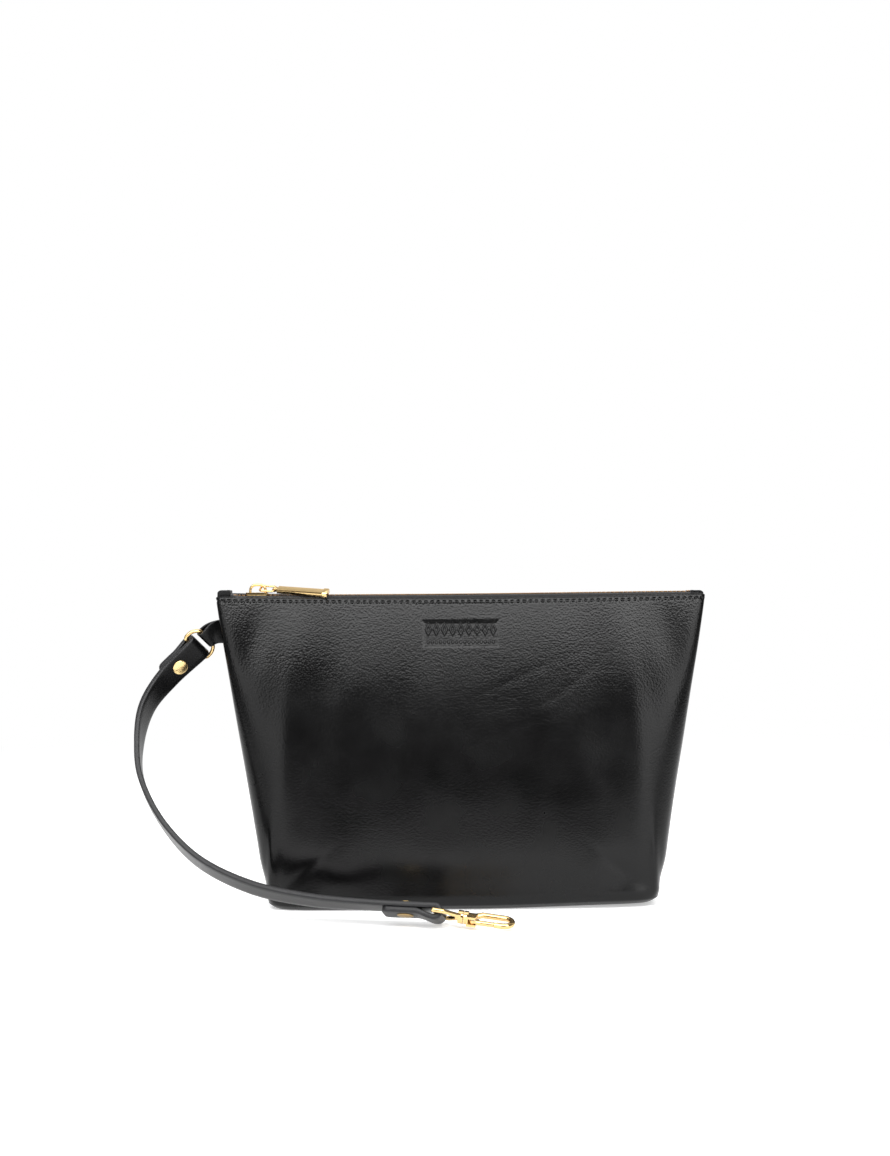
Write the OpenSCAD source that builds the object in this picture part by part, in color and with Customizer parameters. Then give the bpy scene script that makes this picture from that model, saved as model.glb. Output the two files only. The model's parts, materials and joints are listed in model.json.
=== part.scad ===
// Leather makeup bag: a zip pouch with a boxed base, a wrist strap and a swivel clasp.
// Millimetres. +Z is up, the front faces -Y, and the origin is the middle of the base.

/* [Bag] */
// Width along the top edge, from side seam to side seam
top_w = 280; // [270:1:290]
// Width at the base
base_w = 221; // [212:1:230]
// Height of the leather's top edge
bag_h = 175; // [172:1:178]
// Depth at the base
base_d = 54; // [50:1:60]
// Depth across the mouth
mouth_d = 17; // [17:0.1:18]
// Thickness of the leather panels
leather_t = 1.8; // [1.4:0.1:1.9]
// Thickness of the lining
lining_t = 0.6; // [0.4:0.1:0.8]
// Radius of the edge round the base
base_r = 8; // [6:0.5:10]

/* [Zipper] */
// Distance between two teeth of one row
tooth_pitch = 2.54; // [2.4:0.02:2.7]
// Height of a tooth
tooth_h = 2.2; // [2:0.1:2.4]
// Height of the chain's middle above the leather's top edge
chain_rise = 0.8; // [0.7:0.1:1.2]
// How far the slider stands from the middle of the bag
slider_x = -116.4; // [-118:0.2:-100]
// Length of the pull bar
bar_l = 30; // [24:1:32]
// Width of the pull bar
bar_w = 5.6; // [5:0.1:6]
// Roll of the pull towards the front, in degrees
pull_roll = 30; // [28:1:31]

/* [Strap] */
// Width of the strap
strap_w = 15; // [12:0.5:15]
// Thickness of the strap
strap_t = 3; // [2.4:0.1:3]
// Distance from the D-ring to its rivet
ring_rivet_s = 13; // [13:0.5:15]
// Distance from the clasp's eye to its rivet
eye_rivet_s = 16.5; // [13:0.5:17]
// Diameter of the rivet caps
rivet_d = 8.8; // [7:0.2:9]

/* [Hardware] */
// Thickness of the D-ring's wire
ring_wire = 2.2; // [1.8:0.1:2.2]
// Thickness of the clasp's wire
hook_wire = 3.1; // [2.8:0.1:3.2]
// Inside length of the clasp's hook
hook_l = 19; // [17:0.5:20]
// Turn of the clasp's hook from lying level, in degrees
hook_roll = 14; // [0:1:16]

/* [Hidden] */
$fn = 32;

LEATHER = "#1c1c1e";
GOLD = "#d9b25c";
BRASS = "#b98a4a";
FABRIC = "#2a2a2e";

// ---- small helpers ----
function unit(v) = v / norm(v);
function mix(a, b, t) = a + (b - a) * t;
function smooth(t) = let (c = min(1, max(0, t))) c * c * (3 - 2 * c);
function bezier(p, t) =
    p[0] * pow(1 - t, 3) + 3 * p[1] * t * pow(1 - t, 2) + 3 * p[2] * t * t * (1 - t) + p[3] * pow(t, 3);
function flat(lists) = [for (l = lists) each l];

// Puts a child that is drawn at the origin at p, with its X, Y and Z along x, y and z
module place(p, x, y, z) {
    multmatrix([[x[0], y[0], z[0], p[0]], [x[1], y[1], z[1], p[1]], [x[2], y[2], z[2], p[2]], [0, 0, 0, 1]])
        children();
}

// A rod with round ends from a to b; the balls are a touch fatter than the rod
module rod(a, b, r) {
    d = b - a;
    translate(a)
        rotate([0, acos(d[2] / norm(d)), atan2(d[1], d[0])])
            cylinder(h = norm(d), r = r);
    for (p = [a, b]) ball(p, r);
}
module ball(p, r) { translate(p) sphere(r = r * 1.03); }

// An arc of round wire in the XY plane, about the origin
module wire_arc(radius, wire_r, from, sweep) {
    rotate([0, 0, from]) rotate_extrude(angle = sweep, $fn = 64) translate([radius, 0]) circle(r = wire_r);
}

// ---- bag shape ----
wall_cols = 28;
wall_rows = [0, 0.004, 0.012, 0.024, 0.04, 0.1, 0.2, 0.32, 0.45, 0.58, 0.7, 0.81, 0.91, 1];

function half_w(z) = mix(base_w, top_w, z / bag_h) / 2;
function half_d(z) = bezier([base_d / 2, base_d / 2 + 8, 24, mouth_d / 2], z / bag_h);
// How square a cross-section is: 2 is an ellipse, and large numbers are boxes
function squareness(z) = bezier([8, 2.4, 2.6, 12], z / bag_h);
// The base's rounded edge draws the lowest stretch of the wall in
function drawn_in(h, r) = h < r ? r - sqrt(r * r - (r - h) * (r - h)) : 0;

// The front half of the cross-section at height z, offset inwards by d, from the left seam to the right
function half_loop(z, d) =
    let (a = half_w(z) - d - drawn_in(z - d, base_r - d),
         b = half_d(z) - d - drawn_in(z - d, base_r - d),
         e = 2 / squareness(z))
    [for (j = [0 : wall_cols])
        let (t = 180 + 180 * j / wall_cols)
        j == 0 ? [-a, 0, z] : j == wall_cols ? [a, 0, z] :
        [a * sign(cos(t)) * pow(abs(cos(t)), e), -b * pow(abs(sin(t)), e), z]];

// Distance of the outer surface from the middle plane at a point of the front
function wall_y(x, z) = let (n = squareness(z)) half_d(z) * pow(1 - pow(abs(x) / half_w(z), n), 1 / n);

// Two triangles for each quad, because the quads are not flat
function quad(a, b, c, d) = [[a, b, c], [a, c, d]];

// The wall of one side and its half of the base, as one closed shell
module half_shell(offset_in, thick, top_z) {
    n = wall_cols + 1;
    m = len(wall_rows);
    in = m * n;
    base_in = offset_in + thick;
    outer = [for (f = wall_rows) each half_loop(mix(offset_in, top_z, f), offset_in)];
    inner = [for (f = wall_rows) each half_loop(mix(base_in, top_z, f), base_in)];
    walls = [for (i = [0 : m - 2], j = [0 : n - 2])
        let (p = i * n + j)
        each concat(quad(p, p + n, p + n + 1, p + 1),
            quad(in + p, in + p + 1, in + p + n + 1, in + p + n))];
    rim = [for (j = [0 : n - 2])
        let (p = (m - 1) * n + j)
        each quad(p, in + p, in + p + 1, p + 1)];
    seams = [for (i = [0 : m - 2])
        let (l = i * n, r = i * n + n - 1)
        each concat(quad(in + l, in + l + n, l + n, l), quad(r, r + n, in + r + n, in + r))];
    base = [[for (j = [0 : n - 1]) j], [for (j = [n - 1 : -1 : 0]) in + j], [n - 1, in + n - 1, in, 0]];
    polyhedron(concat(outer, inner), concat(walls, rim, seams, base));
}

lining_off = leather_t + 0.75;
lining_top = bag_h - 10;

module front_panel() { color(LEATHER) half_shell(0, leather_t, bag_h); }
module back_panel() { color(LEATHER) mirror([0, 1, 0]) half_shell(0, leather_t, bag_h); }
module lining_front() { color(FABRIC) half_shell(lining_off, lining_t, lining_top); }
module lining_back() { color(FABRIC) mirror([0, 1, 0]) half_shell(lining_off, lining_t, lining_top); }

// ---- stitching ----
stitch_pitch = 3.5;
stitch_l = 2.6;
thread_r = 0.35;
stitch_drop = 3;
stitch_half = 133;

module top_stitching() {
    z = bag_h - stitch_drop;
    for (x = [-stitch_half : stitch_pitch : stitch_half - stitch_l])
        translate([x, -wall_y(x + stitch_l / 2, z), z]) rotate([0, 90, 0]) cylinder(h = stitch_l, r = thread_r, $fn = 16);
}
module top_stitching_front() { color(LEATHER) top_stitching(); }
module top_stitching_back() { color(LEATHER) mirror([0, 1, 0]) top_stitching(); }

seam_pitch = 7;
seam_reach = 1.6;

// Threads that cross the seam plane, buried in the middle of the leather
module seam_stitch(x, z) {
    translate([x, seam_reach, z]) rotate([90, 0, 0]) cylinder(h = 2 * seam_reach, r = thread_r, $fn = 16);
}
module side_seam_thread() {
    color(LEATHER)
        for (z = [10 : seam_pitch : bag_h - 8], side = [-1, 1])
            seam_stitch(side * (half_w(z) - leather_t / 2), z);
}
module base_seam_thread() {
    reach = base_w / 2 - base_r - 4;
    color(LEATHER)
        for (x = [-reach : seam_pitch : reach]) seam_stitch(x, leather_t / 2);
}

// ---- zipper ----
chain_z = bag_h + chain_rise;
chain_end = 129;
tape_t = 0.6;
tape_in = 1.7;
tape_out = mouth_d / 2 - leather_t - 0.6;
tape_leg = 9;
tape_half_l = 131.4;
tongue_l = 3.4;
tongue_half_y = 4.6;
tooth_w = 1.05;
tooth_foot_w = 1.4;
tooth_reach = 0.55;
tooth_back = 2.6;
part_max = 1.5;
part_l = 5.5;

// Slope of the leather just below the mouth, which the tape's leg follows
lean = (half_d(bag_h - tape_leg) - half_d(bag_h)) / tape_leg;

module tape() {
    top = chain_z + tape_t / 2;
    low = chain_z - tape_t / 2;
    out_low = tape_out + lean * tape_leg - 0.4;
    translate([-tape_half_l, 0, 0])
        rotate([90, 0, 90])
            linear_extrude(height = 2 * tape_half_l)
                polygon([[-tape_in, low], [-tape_in, top], [-tape_out + 0.4, top], [-tape_out, top - 0.4],
                    [-tape_out, bag_h], [-out_low, bag_h - tape_leg],
                    [-out_low + tape_t, bag_h - tape_leg], [-tape_out + tape_t, bag_h], [-tape_out + tape_t, low]]);
    // Its flat end runs on into the leather tab on each side
    for (side = [0, 1])
        mirror([side, 0, 0])
            translate([tape_half_l - 0.5, -tongue_half_y, low])
                cube([tongue_l + 0.5, tongue_half_y - tape_in, tape_t]);
}
module zipper_tape_front() { color(FABRIC) tape(); }
module zipper_tape_back() { color(FABRIC) mirror([0, 1, 0]) tape(); }

// How far a row has moved out from the closed chain: the rows part on the slider's open side
function parted(x) = part_max * smooth((slider_x + 1 - x) / part_l);

// One row of teeth on the front side, starting at x0
module tooth_row(x0) {
    for (x = [x0 : tooth_pitch : chain_end])
        translate([x, -parted(x), chain_z - tooth_h / 2])
            linear_extrude(height = tooth_h)
                polygon([[-tooth_w / 2, tooth_reach], [tooth_w / 2, tooth_reach], [tooth_w / 2, -tape_in],
                    [tooth_foot_w / 2, -tape_in - 0.3], [tooth_foot_w / 2, -tooth_back],
                    [-tooth_foot_w / 2, -tooth_back], [-tooth_foot_w / 2, -tape_in - 0.3], [-tooth_w / 2, -tape_in]]);
}
module zipper_teeth_front() { color(BRASS) tooth_row(-chain_end + 2.5); }
module zipper_teeth_back() { color(BRASS) mirror([0, 1, 0]) tooth_row(-chain_end + 2.5 + tooth_pitch / 2); }

module zipper_top_stops() {
    color(BRASS)
        for (side = [-1, 1])
            translate([-chain_end - 0.4, side * (part_max + 1.4), chain_z])
                cube([1.8, 3, tooth_h + 0.4], center = true);
}
module zipper_bottom_stop() {
    color(BRASS)
        translate([chain_end + 1.7, 0, chain_z])
            difference() {
                cube([1.8, 5.4, tooth_h + 0.4], center = true);
                for (side = [-1, 1])
                    translate([0, side * (tape_in + 3), 0]) cube([3, 6, tape_t + 0.1], center = true);
            }
}

// Leather over each end of the tape, which tucks down into the corner of the mouth
tab_in_x = 131.8;
tab_out_x = 136.8;
tab_half_y = 4.8;
tab_low = bag_h - 3;
tab_round = 1.8;
tab_top_left = bag_h + 4.6;
tab_top_right = bag_h + 2.1;
tab_stitch_x = 133.2;
module end_tab(top) {
    slot = tape_t + 0.1;
    w = tab_out_x - tab_in_x;
    translate([tab_in_x, tab_half_y, 0])
        rotate([90, 0, 0])
            linear_extrude(height = 2 * tab_half_y)
                difference() {
                    union() {
                        translate([0, tab_low]) square([w, top - tab_round - tab_low]);
                        translate([0, tab_low]) square([w - tab_round, top - tab_low]);
                        translate([w - tab_round, top - tab_round]) circle(r = tab_round);
                    }
                    translate([-1, chain_z - slot / 2]) square([tongue_l + 1.2, slot]);
                }
}
module end_tab_right() { color(LEATHER) end_tab(tab_top_right); }
module end_tab_left() { color(LEATHER) mirror([1, 0, 0]) end_tab(tab_top_left); }
module end_tab_stitching() {
    color(LEATHER)
        for (side = [-1, 1], y = [-3.9 : 2.6 : 3.9])
            translate([side * tab_stitch_x, y - 0.9, (side < 0 ? tab_top_left : tab_top_right) - 0.15])
                rotate([-90, 0, 0]) cylinder(h = 1.8, r = thread_r, $fn = 16);
}

// ---- slider ----
plate_t = 1;
plate_gap = 0.2;
slider_front = -6.4;
slider_rear = 6;
flange_gap = 0.3;
channel_h = tooth_h / 2 + plate_gap;
// Plan of a plate: wide where the rows part, narrow where the closed chain runs out
plate_front = 5.3;
plate_rear = 4;
module slider_plan() {
    polygon([[slider_front + 1, -plate_front], [slider_front, -plate_front + 1.2], [slider_front, -1.2],
        [slider_front + 0.5, 0], [slider_front, 1.2], [slider_front, plate_front - 1.2],
        [slider_front + 1, plate_front], [-1, plate_front], [2.5, plate_rear], [slider_rear - 0.8, plate_rear],
        [slider_rear, plate_rear - 0.8], [slider_rear, -plate_rear + 0.8], [slider_rear - 0.8, -plate_rear],
        [2.5, -plate_rear], [-1, -plate_front]]);
}
// The open channel inside the side walls, where the teeth run
module channel_plan() {
    wall = 0.9;
    polygon([[slider_front - 1, -plate_front + wall], [-0.8, -plate_front + wall], [2.3, -plate_rear + wall],
        [slider_rear + 1, -plate_rear + wall], [slider_rear + 1, plate_rear - wall], [2.3, plate_rear - wall],
        [-0.8, plate_front - wall], [slider_front - 1, plate_front - wall]]);
}
module slider_body() {
    wall_low = tape_t / 2 + flange_gap;
    color(GOLD)
        translate([slider_x, 0, chain_z]) {
            for (side = [0, 1])
                mirror([0, 0, side]) {
                    translate([0, 0, channel_h]) linear_extrude(height = plate_t) slider_plan();
                    translate([0, 0, wall_low])
                        linear_extrude(height = channel_h - wall_low)
                            difference() {
                                slider_plan();
                                channel_plan();
                            }
                }
            // The wedge that parts the rows and ties the two plates together
            translate([0, 0, -channel_h])
                linear_extrude(height = 2 * channel_h)
                    polygon([[slider_front + 0.5, 0], [slider_front + 1, 0.6], [slider_front + 2, 0.6],
                        [slider_front + 3, 0], [slider_front + 2, -0.6], [slider_front + 1, -0.6]]);
        }
}

bail_wire = 0.75;
bail_foot = 4.4;
bail_bend = 3.2;
bail_base = channel_h + plate_t;
bail_top = 6.7;
module slider_bail() {
    flat_x = bail_foot - bail_bend;
    color(GOLD)
        translate([slider_x, 0, chain_z])
            rotate([90, 0, 0])
                union() {
                    for (side = [0, 1])
                        mirror([side, 0, 0]) {
                            translate([flat_x, bail_top - bail_bend, 0]) wire_arc(bail_bend, bail_wire, 0, 90);
                            translate([bail_foot, bail_base - 0.5, 0]) rotate([-90, 0, 0])
                                cylinder(h = bail_top - bail_bend - bail_base + 0.5, r = bail_wire);
                        }
                    translate([-flat_x, bail_top, 0]) rotate([0, 90, 0]) cylinder(h = 2 * flat_x, r = bail_wire);
                }
}

// ---- pull: a link in the bail and a bar on the link ----
link_at = [slider_x + 1.7, 0, chain_z + 4.8];
bar_end = [link_at[0] + 39.1, -8.5, bag_h + 2.5];
pull_dir = unit(bar_end - link_at);
roll_dir = [0, cos(pull_roll), sin(pull_roll)];
pull_axis = unit(roll_dir - (roll_dir * pull_dir) * pull_dir);
pull_face = cross(pull_dir, pull_axis);
link_l = 8.5;
link_half = 2.9;
link_wire = 0.6;
link_bend = 1.4;
bar_at = link_at + link_l * pull_dir;

module pull_link() {
    side_l = link_l - 2 * link_bend;
    color(GOLD)
        place(link_at, pull_dir, pull_axis, pull_face)
            union() {
                for (side = [-1, 1]) {
                    translate([link_bend, side * link_half, 0]) rotate([0, 90, 0])
                        cylinder(h = side_l, r = link_wire);
                    for (end = [0, 1])
                        translate([end == 0 ? link_bend : link_l - link_bend, side * (link_half - link_bend), 0])
                            wire_arc(link_bend, link_wire, end == 0 ? (side < 0 ? 180 : 90) : (side < 0 ? 270 : 0), 90);
                }
                for (x = [0, link_l])
                    translate([x, link_bend - link_half, 0]) rotate([-90, 0, 0])
                        cylinder(h = 2 * (link_half - link_bend), r = link_wire);
            }
}

bar_t = 2.2;
bar_bevel = 0.6;
bar_gap = 1.9;
bar_cap_l = 3;
lug_half = (link_half - link_bend) - 0.1;
// A bar's cross-section in its width and thickness, with bevelled upper edges
module bar_section(w, t) {
    polygon([[-w / 2, -t / 2], [w / 2, -t / 2], [w / 2, t / 2 - bar_bevel], [w / 2 - bar_bevel, t / 2],
        [-w / 2 + bar_bevel, t / 2], [-w / 2, t / 2 - bar_bevel]]);
}
module pull_bar() {
    color(GOLD)
        place(bar_at, pull_dir, pull_axis, pull_face)
            difference() {
                union() {
                    translate([bar_gap, 0, 0]) rotate([90, 0, 90])
                        linear_extrude(height = bar_l) bar_section(bar_w, bar_t);
                    translate([bar_gap + bar_l - bar_cap_l, 0, 0]) rotate([90, 0, 90])
                        linear_extrude(height = bar_cap_l) bar_section(bar_w + 0.6, bar_t + 0.6);
                    translate([0, -lug_half, 0]) rotate([-90, 0, 0]) cylinder(h = 2 * lug_half, r = 1.25);
                    translate([0, -lug_half, -0.9]) cube([bar_gap + 1, 2 * lug_half, 1.8]);
                }
                translate([0, -2, 0]) rotate([-90, 0, 0]) cylinder(h = 4, r = link_wire + 0.08);
            }
}

// ---- strap route: points and twists that the strap's middle line follows ----
strap_route = [[-151.3, -4, 145.4], [-167.5, -6, 130], [-178, -13, 114], [-181, -21, 95], [-178, -30, 75],
    [-165, -38, 52], [-144, -46, 32], [-115, -53, 19], [-83, -59, 13], [-49, -65, 11], [-14, -71, 10.4]];
strap_twist = [56, 46, 22, 0, -13, -19, -28, -32, -31, -26, -23];

// A value on a smooth curve through the list, at u counted in list steps
function along(list, u) =
    let (k = len(list) - 1, i = max(0, min(floor(u), k - 1)), t = u - i,
         b = list[i], c = list[i + 1],
         a = i > 0 ? list[i - 1] : 2 * b - c,
         d = i < k - 1 ? list[i + 2] : 2 * c - b)
    0.5 * (2 * b + (c - a) * t + (2 * a - 5 * b + 4 * c - d) * t * t + (3 * b - a - 3 * c + d) * t * t * t);

// The strap's frame at u: [middle point, direction, width direction, face normal]
function strap_frame(u) =
    let (p = along(strap_route, u),
         dir = unit(along(strap_route, u + 0.01) - along(strap_route, u - 0.01)),
         level = unit([0, 1, 0] - dir[1] * dir),
         turn = along(strap_twist, u),
         wide = cos(turn) * level + sin(turn) * cross(dir, level))
    [p, dir, wide, cross(dir, wide)];

route_end = len(strap_route) - 1;
ring_frame = strap_frame(0);
eye_frame = strap_frame(route_end);
step_ring = norm(strap_route[1] - strap_route[0]);
step_eye = norm(strap_route[route_end] - strap_route[route_end - 1]);

// Sweeps a flat strip with bevelled edges through slices of [point, width direction, normal, half width]
module strip(slices, thick) {
    h = thick / 2;
    b = thick / 5;
    n = len(slices);
    points = [for (s = slices)
        let (p = s[0], w = s[1], u = s[2], r = s[3])
        each [p + r * w + (b - h) * u, p + r * w + (h - b) * u, p + (r - b) * w + h * u, p + (b - r) * w + h * u,
            p - r * w + (h - b) * u, p - r * w + (b - h) * u, p + (b - r) * w - h * u, p + (r - b) * w - h * u]];
    sides = [for (k = [0 : n - 2], j = [0 : 7])
        let (a = 8 * k + j, c = 8 * k + (j + 1) % 8)
        each quad(a, a + 8, c + 8, c)];
    polyhedron(points, concat(sides, [[for (j = [0 : 7]) j], [for (j = [7 : -1 : 0]) 8 * (n - 1) + j]]));
}

// Both ends turn round a bar and lie on the strap's outer side, closing up towards the rivet
fold_gap = 0.15;
ring_fold = ring_wire / 2 + fold_gap + 0.1 + strap_t / 2;
eye_bar_r = 1.3;
eye_fold = eye_bar_r + fold_gap + strap_t / 2;
ply_gap = 0.1;
close_l = 11;
tail_l = 22;
tail_more = 6;
fold_steps = 8;
route_steps = 44;

function tail_slice(u, s, fold) =
    let (f = strap_frame(u), drop = mix(2 * fold, strap_t + ply_gap, smooth(s / close_l)))
    [f[0] - drop * f[3], f[2], -f[3], strap_w / 2];
function fold_slice(f, fold, out, a) =
    let (u = cos(a) * f[3] + sin(a) * out)
    [f[0] - fold * f[3] + fold * u, f[2], u, strap_w / 2];

strap_slices = flat([
    [for (s = [tail_l : -4 : 2]) tail_slice(s / step_ring, s, ring_fold)],
    [for (k = [0 : fold_steps]) fold_slice(ring_frame, ring_fold, -ring_frame[1], 180 - 180 * k / fold_steps)],
    [for (k = [1 : route_steps - 1])
        let (f = strap_frame(k * route_end / route_steps)) [f[0], f[2], f[3], strap_w / 2]],
    [for (k = [0 : fold_steps]) fold_slice(eye_frame, eye_fold, eye_frame[1], 180 * k / fold_steps)],
    [for (s = [4 : 4 : tail_l + tail_more]) tail_slice(route_end - s / step_eye, s, eye_fold)]
]);

// ---- rivets ----
rivet_r = 1.5;
cap_h = 1.5;
base_h = 0.9;
ring_rivet = strap_frame(ring_rivet_s / step_ring);
eye_rivet = strap_frame(route_end - eye_rivet_s / step_eye);
rivet_stack = strap_t + ply_gap + strap_t / 2;

module rivet_cap() {
    r = rivet_d / 2;
    difference() {
        rotate_extrude($fn = 48)
            polygon(concat([[0, 0], [r - 0.2, 0], [r, 0.3]],
                [for (a = [15 : 15 : 75]) [r * cos(a), 0.3 + (cap_h - 0.3) * sin(a)]], [[0, cap_h]]));
        translate([0, 0, -1]) cylinder(h = 1.7, r = rivet_r + 0.03);
    }
}
module rivet_post() {
    r = rivet_d / 2;
    translate([0, 0, -base_h])
        rotate_extrude($fn = 48)
            polygon([[0, 0], [r - 0.5, 0], [r, 0.4], [r, base_h], [0, base_h]]);
    cylinder(h = strap_t / 2 + rivet_stack + 0.6, r = rivet_r);
}
module cap_at(f) { place(f[0] + strap_t / 2 * f[3], f[1], f[2], f[3]) rivet_cap(); }
module post_at(f) { place(f[0] - rivet_stack * f[3], f[1], f[2], f[3]) rivet_post(); }
module rivet_cap_ring_end() { color(GOLD) cap_at(ring_rivet); }
module rivet_post_ring_end() { color(GOLD) post_at(ring_rivet); }
module rivet_cap_clasp_end() { color(GOLD) cap_at(eye_rivet); }
module rivet_post_clasp_end() { color(BRASS) post_at(eye_rivet); }

module strap() { color(LEATHER) strip(strap_slices, strap_t); }

// ---- D-ring: the flat bar holds the strap, and the bow hangs in the side tab ----
ring_r = ring_wire / 2;
ring_inside = 16.6;
ring_half = ring_inside / 2 + ring_r;
ring_corner = 2;
ring_side = 6.5;
ring_bow = 12;
ring_rise = 1;
ring_up = -ring_frame[1];
ring_x = ring_frame[2];
ring_z = cross(ring_x, ring_up);
ring_at = ring_frame[0] - ring_fold * ring_frame[3];
bow_x = ring_half - ring_side;
bow_drop = sqrt(pow(ring_bow - ring_side, 2) - bow_x * bow_x);
bow_angle = atan2(bow_drop, bow_x);
bow_y = ring_corner + ring_rise - bow_drop;
ring_top = bow_y + ring_bow;

module d_ring() {
    bar = ring_half - ring_corner;
    side_top = ring_corner + ring_rise;
    color(GOLD)
        place(ring_at, ring_x, ring_up, ring_z)
            union() {
                translate([-bar, 0, 0]) rotate([0, 90, 0]) cylinder(h = 2 * bar, r = ring_r);
                for (side = [0, 1])
                    mirror([side, 0, 0]) {
                        translate([bar, ring_corner, 0]) wire_arc(ring_corner, ring_r, -90, 90);
                        translate([ring_half, ring_corner, 0]) rotate([-90, 0, 0]) cylinder(h = ring_rise, r = ring_r);
                        translate([bow_x, side_top, 0]) wire_arc(ring_side, ring_r, 0, bow_angle);
                        ball([bar, 0, 0], ring_r);
                        ball([ring_half, ring_corner, 0], ring_r);
                        ball([ring_half, side_top, 0], ring_r);
                        ball([ring_bow * cos(bow_angle), bow_y + ring_bow * sin(bow_angle), 0], ring_r);
                    }
                translate([0, bow_y, 0]) wire_arc(ring_bow, ring_r, bow_angle, 180 - 2 * bow_angle);
            }
}

// ---- side tab: a folded strip from the side seam round the ring's bow ----
tab_leather = 1.3;
tab_seam_w = 14;
tab_ring_w = 11;
tab_z = 156;
bow_sag = 0.7;
tab_fold = ring_r + bow_sag + 0.15 + tab_leather / 2;
ring_pivot = ring_at + (ring_top - bow_sag) * ring_up;
seam_down = unit([(top_w - base_w) / 2, 0, -bag_h]);
tab_start = [-half_w(tab_z) + 0.45, 0, tab_z];
tab_steps = 6;

// The tab's middle line curves and twists from the seam, which its end lies along, to the ring
function tab_slice(t, side) =
    let (bend = ring_pivot + 4.5 * ring_up,
         p = mix(mix(tab_start, bend, t), mix(bend, ring_pivot, t), t),
         dir = unit(mix(bend - tab_start, ring_pivot - bend, t)),
         w0 = mix(seam_down, ring_x, smooth(t)),
         w = unit(w0 - smooth(3 * t) * (w0 * dir) * dir),
         n = unit(cross(dir, w)))
    [p + side * mix(tab_leather / 2 + 0.05, tab_fold, smooth(t)) * n, w, side * n, mix(tab_seam_w, tab_ring_w, t) / 2];
function tab_fold_slice(a) =
    let (u = cos(a) * cross(-ring_up, ring_x) - sin(a) * ring_up)
    [ring_pivot + tab_fold * u, ring_x, u, tab_ring_w / 2];
module side_tab() {
    color(LEATHER)
        strip(flat([
            [for (k = [0 : tab_steps - 1]) tab_slice(k / tab_steps, 1)],
            [for (k = [0 : fold_steps]) tab_fold_slice(180 * k / fold_steps)],
            [for (k = [tab_steps - 1 : -1 : 0]) tab_slice(k / tab_steps, -1)]
        ]), tab_leather);
}

// ---- swivel clasp, drawn along +X from the eye's bar ----
eye_dip = 5.5;
clasp_dir = unit(cos(eye_dip) * eye_frame[1] - sin(eye_dip) * eye_frame[3]);
clasp_y = eye_frame[2];
clasp_z = cross(clasp_dir, clasp_y);
clasp_at = eye_frame[0] - eye_fold * eye_frame[3];
eye_half = strap_w / 2 + 1.7;
eye_arm_r = 1.2;
eye_straight = 5.2;
collar_x = 12;
collar_l = 2.8;
collar_r = 3.5;
post_r = 1.3;
post_gap = 0.06;
swivel_gap = 0.5;
hook_x = collar_x + collar_l + swivel_gap;

// The hook is turned on the swivel from the eye's tilt to nearly level, its far side a little raised
hook_level = unit([0, 1, 0] - clasp_dir[1] * clasp_dir);
hook_y = cos(hook_roll) * hook_level + sin(hook_roll) * cross(clasp_dir, hook_level);
hook_z = cross(clasp_dir, hook_y);

module clasp_eye() {
    color(GOLD)
        place(clasp_at, clasp_dir, clasp_y, clasp_z)
            difference() {
                union() {
                    rod([0, -eye_half, 0], [0, eye_half, 0], eye_bar_r);
                    for (side = [-1, 1]) {
                        rod([0, side * eye_half, 0], [eye_straight, side * eye_half, 0], eye_arm_r);
                        rod([eye_straight, side * eye_half, 0], [collar_x + 0.9, side * 2.7, 0], eye_arm_r);
                    }
                    translate([collar_x, 0, 0]) rotate([0, 90, 0]) cylinder(h = collar_l, r = collar_r);
                }
                translate([collar_x - 3, 0, 0]) rotate([0, 90, 0]) cylinder(h = 8, r = post_r + post_gap);
            }
}
module swivel_post() {
    head_l = 1.4;
    color(GOLD)
        place(clasp_at, clasp_dir, hook_y, hook_z) {
            translate([collar_x - head_l - 0.2, 0, 0]) rotate([0, 90, 0]) cylinder(h = head_l, r = 1.9);
            translate([collar_x - head_l - 0.2, 0, 0]) rotate([0, 90, 0])
                cylinder(h = head_l + 0.2 + collar_l + swivel_gap + 2, r = post_r);
        }
}

hook_r = hook_wire / 2;
base_l = 2.2;
fork_l = 5;
fork_half_z = 2.7;
gate_half_z = 1.35;
spine_y = 5.2;
nose_y = -4;
turn_r = (spine_y - nose_y) / 2;
turn_x = base_l + 4 + hook_l - turn_r;
gate_pivot = [base_l + 2.6, nose_y + 1.2, 0];
gate_pin_r = 0.8;
nose_x = turn_x - 4;
lap = 1.5;

module clasp_hook() {
    color(GOLD)
        place(clasp_at + hook_x * clasp_dir, clasp_dir, hook_y, hook_z)
            difference() {
                union() {
                    rotate([0, 90, 0]) cylinder(h = base_l, r = collar_r);
                    // Fork that holds the gate's pin
                    translate([base_l - 0.5, gate_pivot[1] - 1.9, -fork_half_z])
                        cube([fork_l, 5.6, 2 * fork_half_z]);
                    rod([base_l + 1.8, 2, 0], [base_l + 6.5, spine_y, 0], hook_r);
                    rod([base_l + 6.5, spine_y, 0], [turn_x, spine_y, 0], hook_r);
                    translate([turn_x, spine_y - turn_r, 0]) wire_arc(turn_r, hook_r, -90, 180);
                    ball([turn_x, nose_y, 0], hook_r);
                    translate([nose_x, nose_y, 0]) rotate([0, 90, 0]) cylinder(h = turn_x - nose_x, r = hook_r);
                }
                // Slot for the gate, and the half lap that its tip closes against
                translate([base_l + 0.4, gate_pivot[1] - 3, -gate_half_z - 0.1])
                    cube([fork_l + 1, 5, 2 * gate_half_z + 0.2]);
                translate([nose_x - 1, nose_y - 0.1, -3]) cube([lap + 1, 3, 6]);
                translate([gate_pivot[0], gate_pivot[1], -4]) cylinder(h = 8, r = gate_pin_r);
                translate([-1, 0, 0]) rotate([0, 90, 0]) cylinder(h = 3, r = post_r);
            }
}
gate_gap = 0.3;
gate_r = 1.3;
hub_half_z = 0.75;
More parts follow.
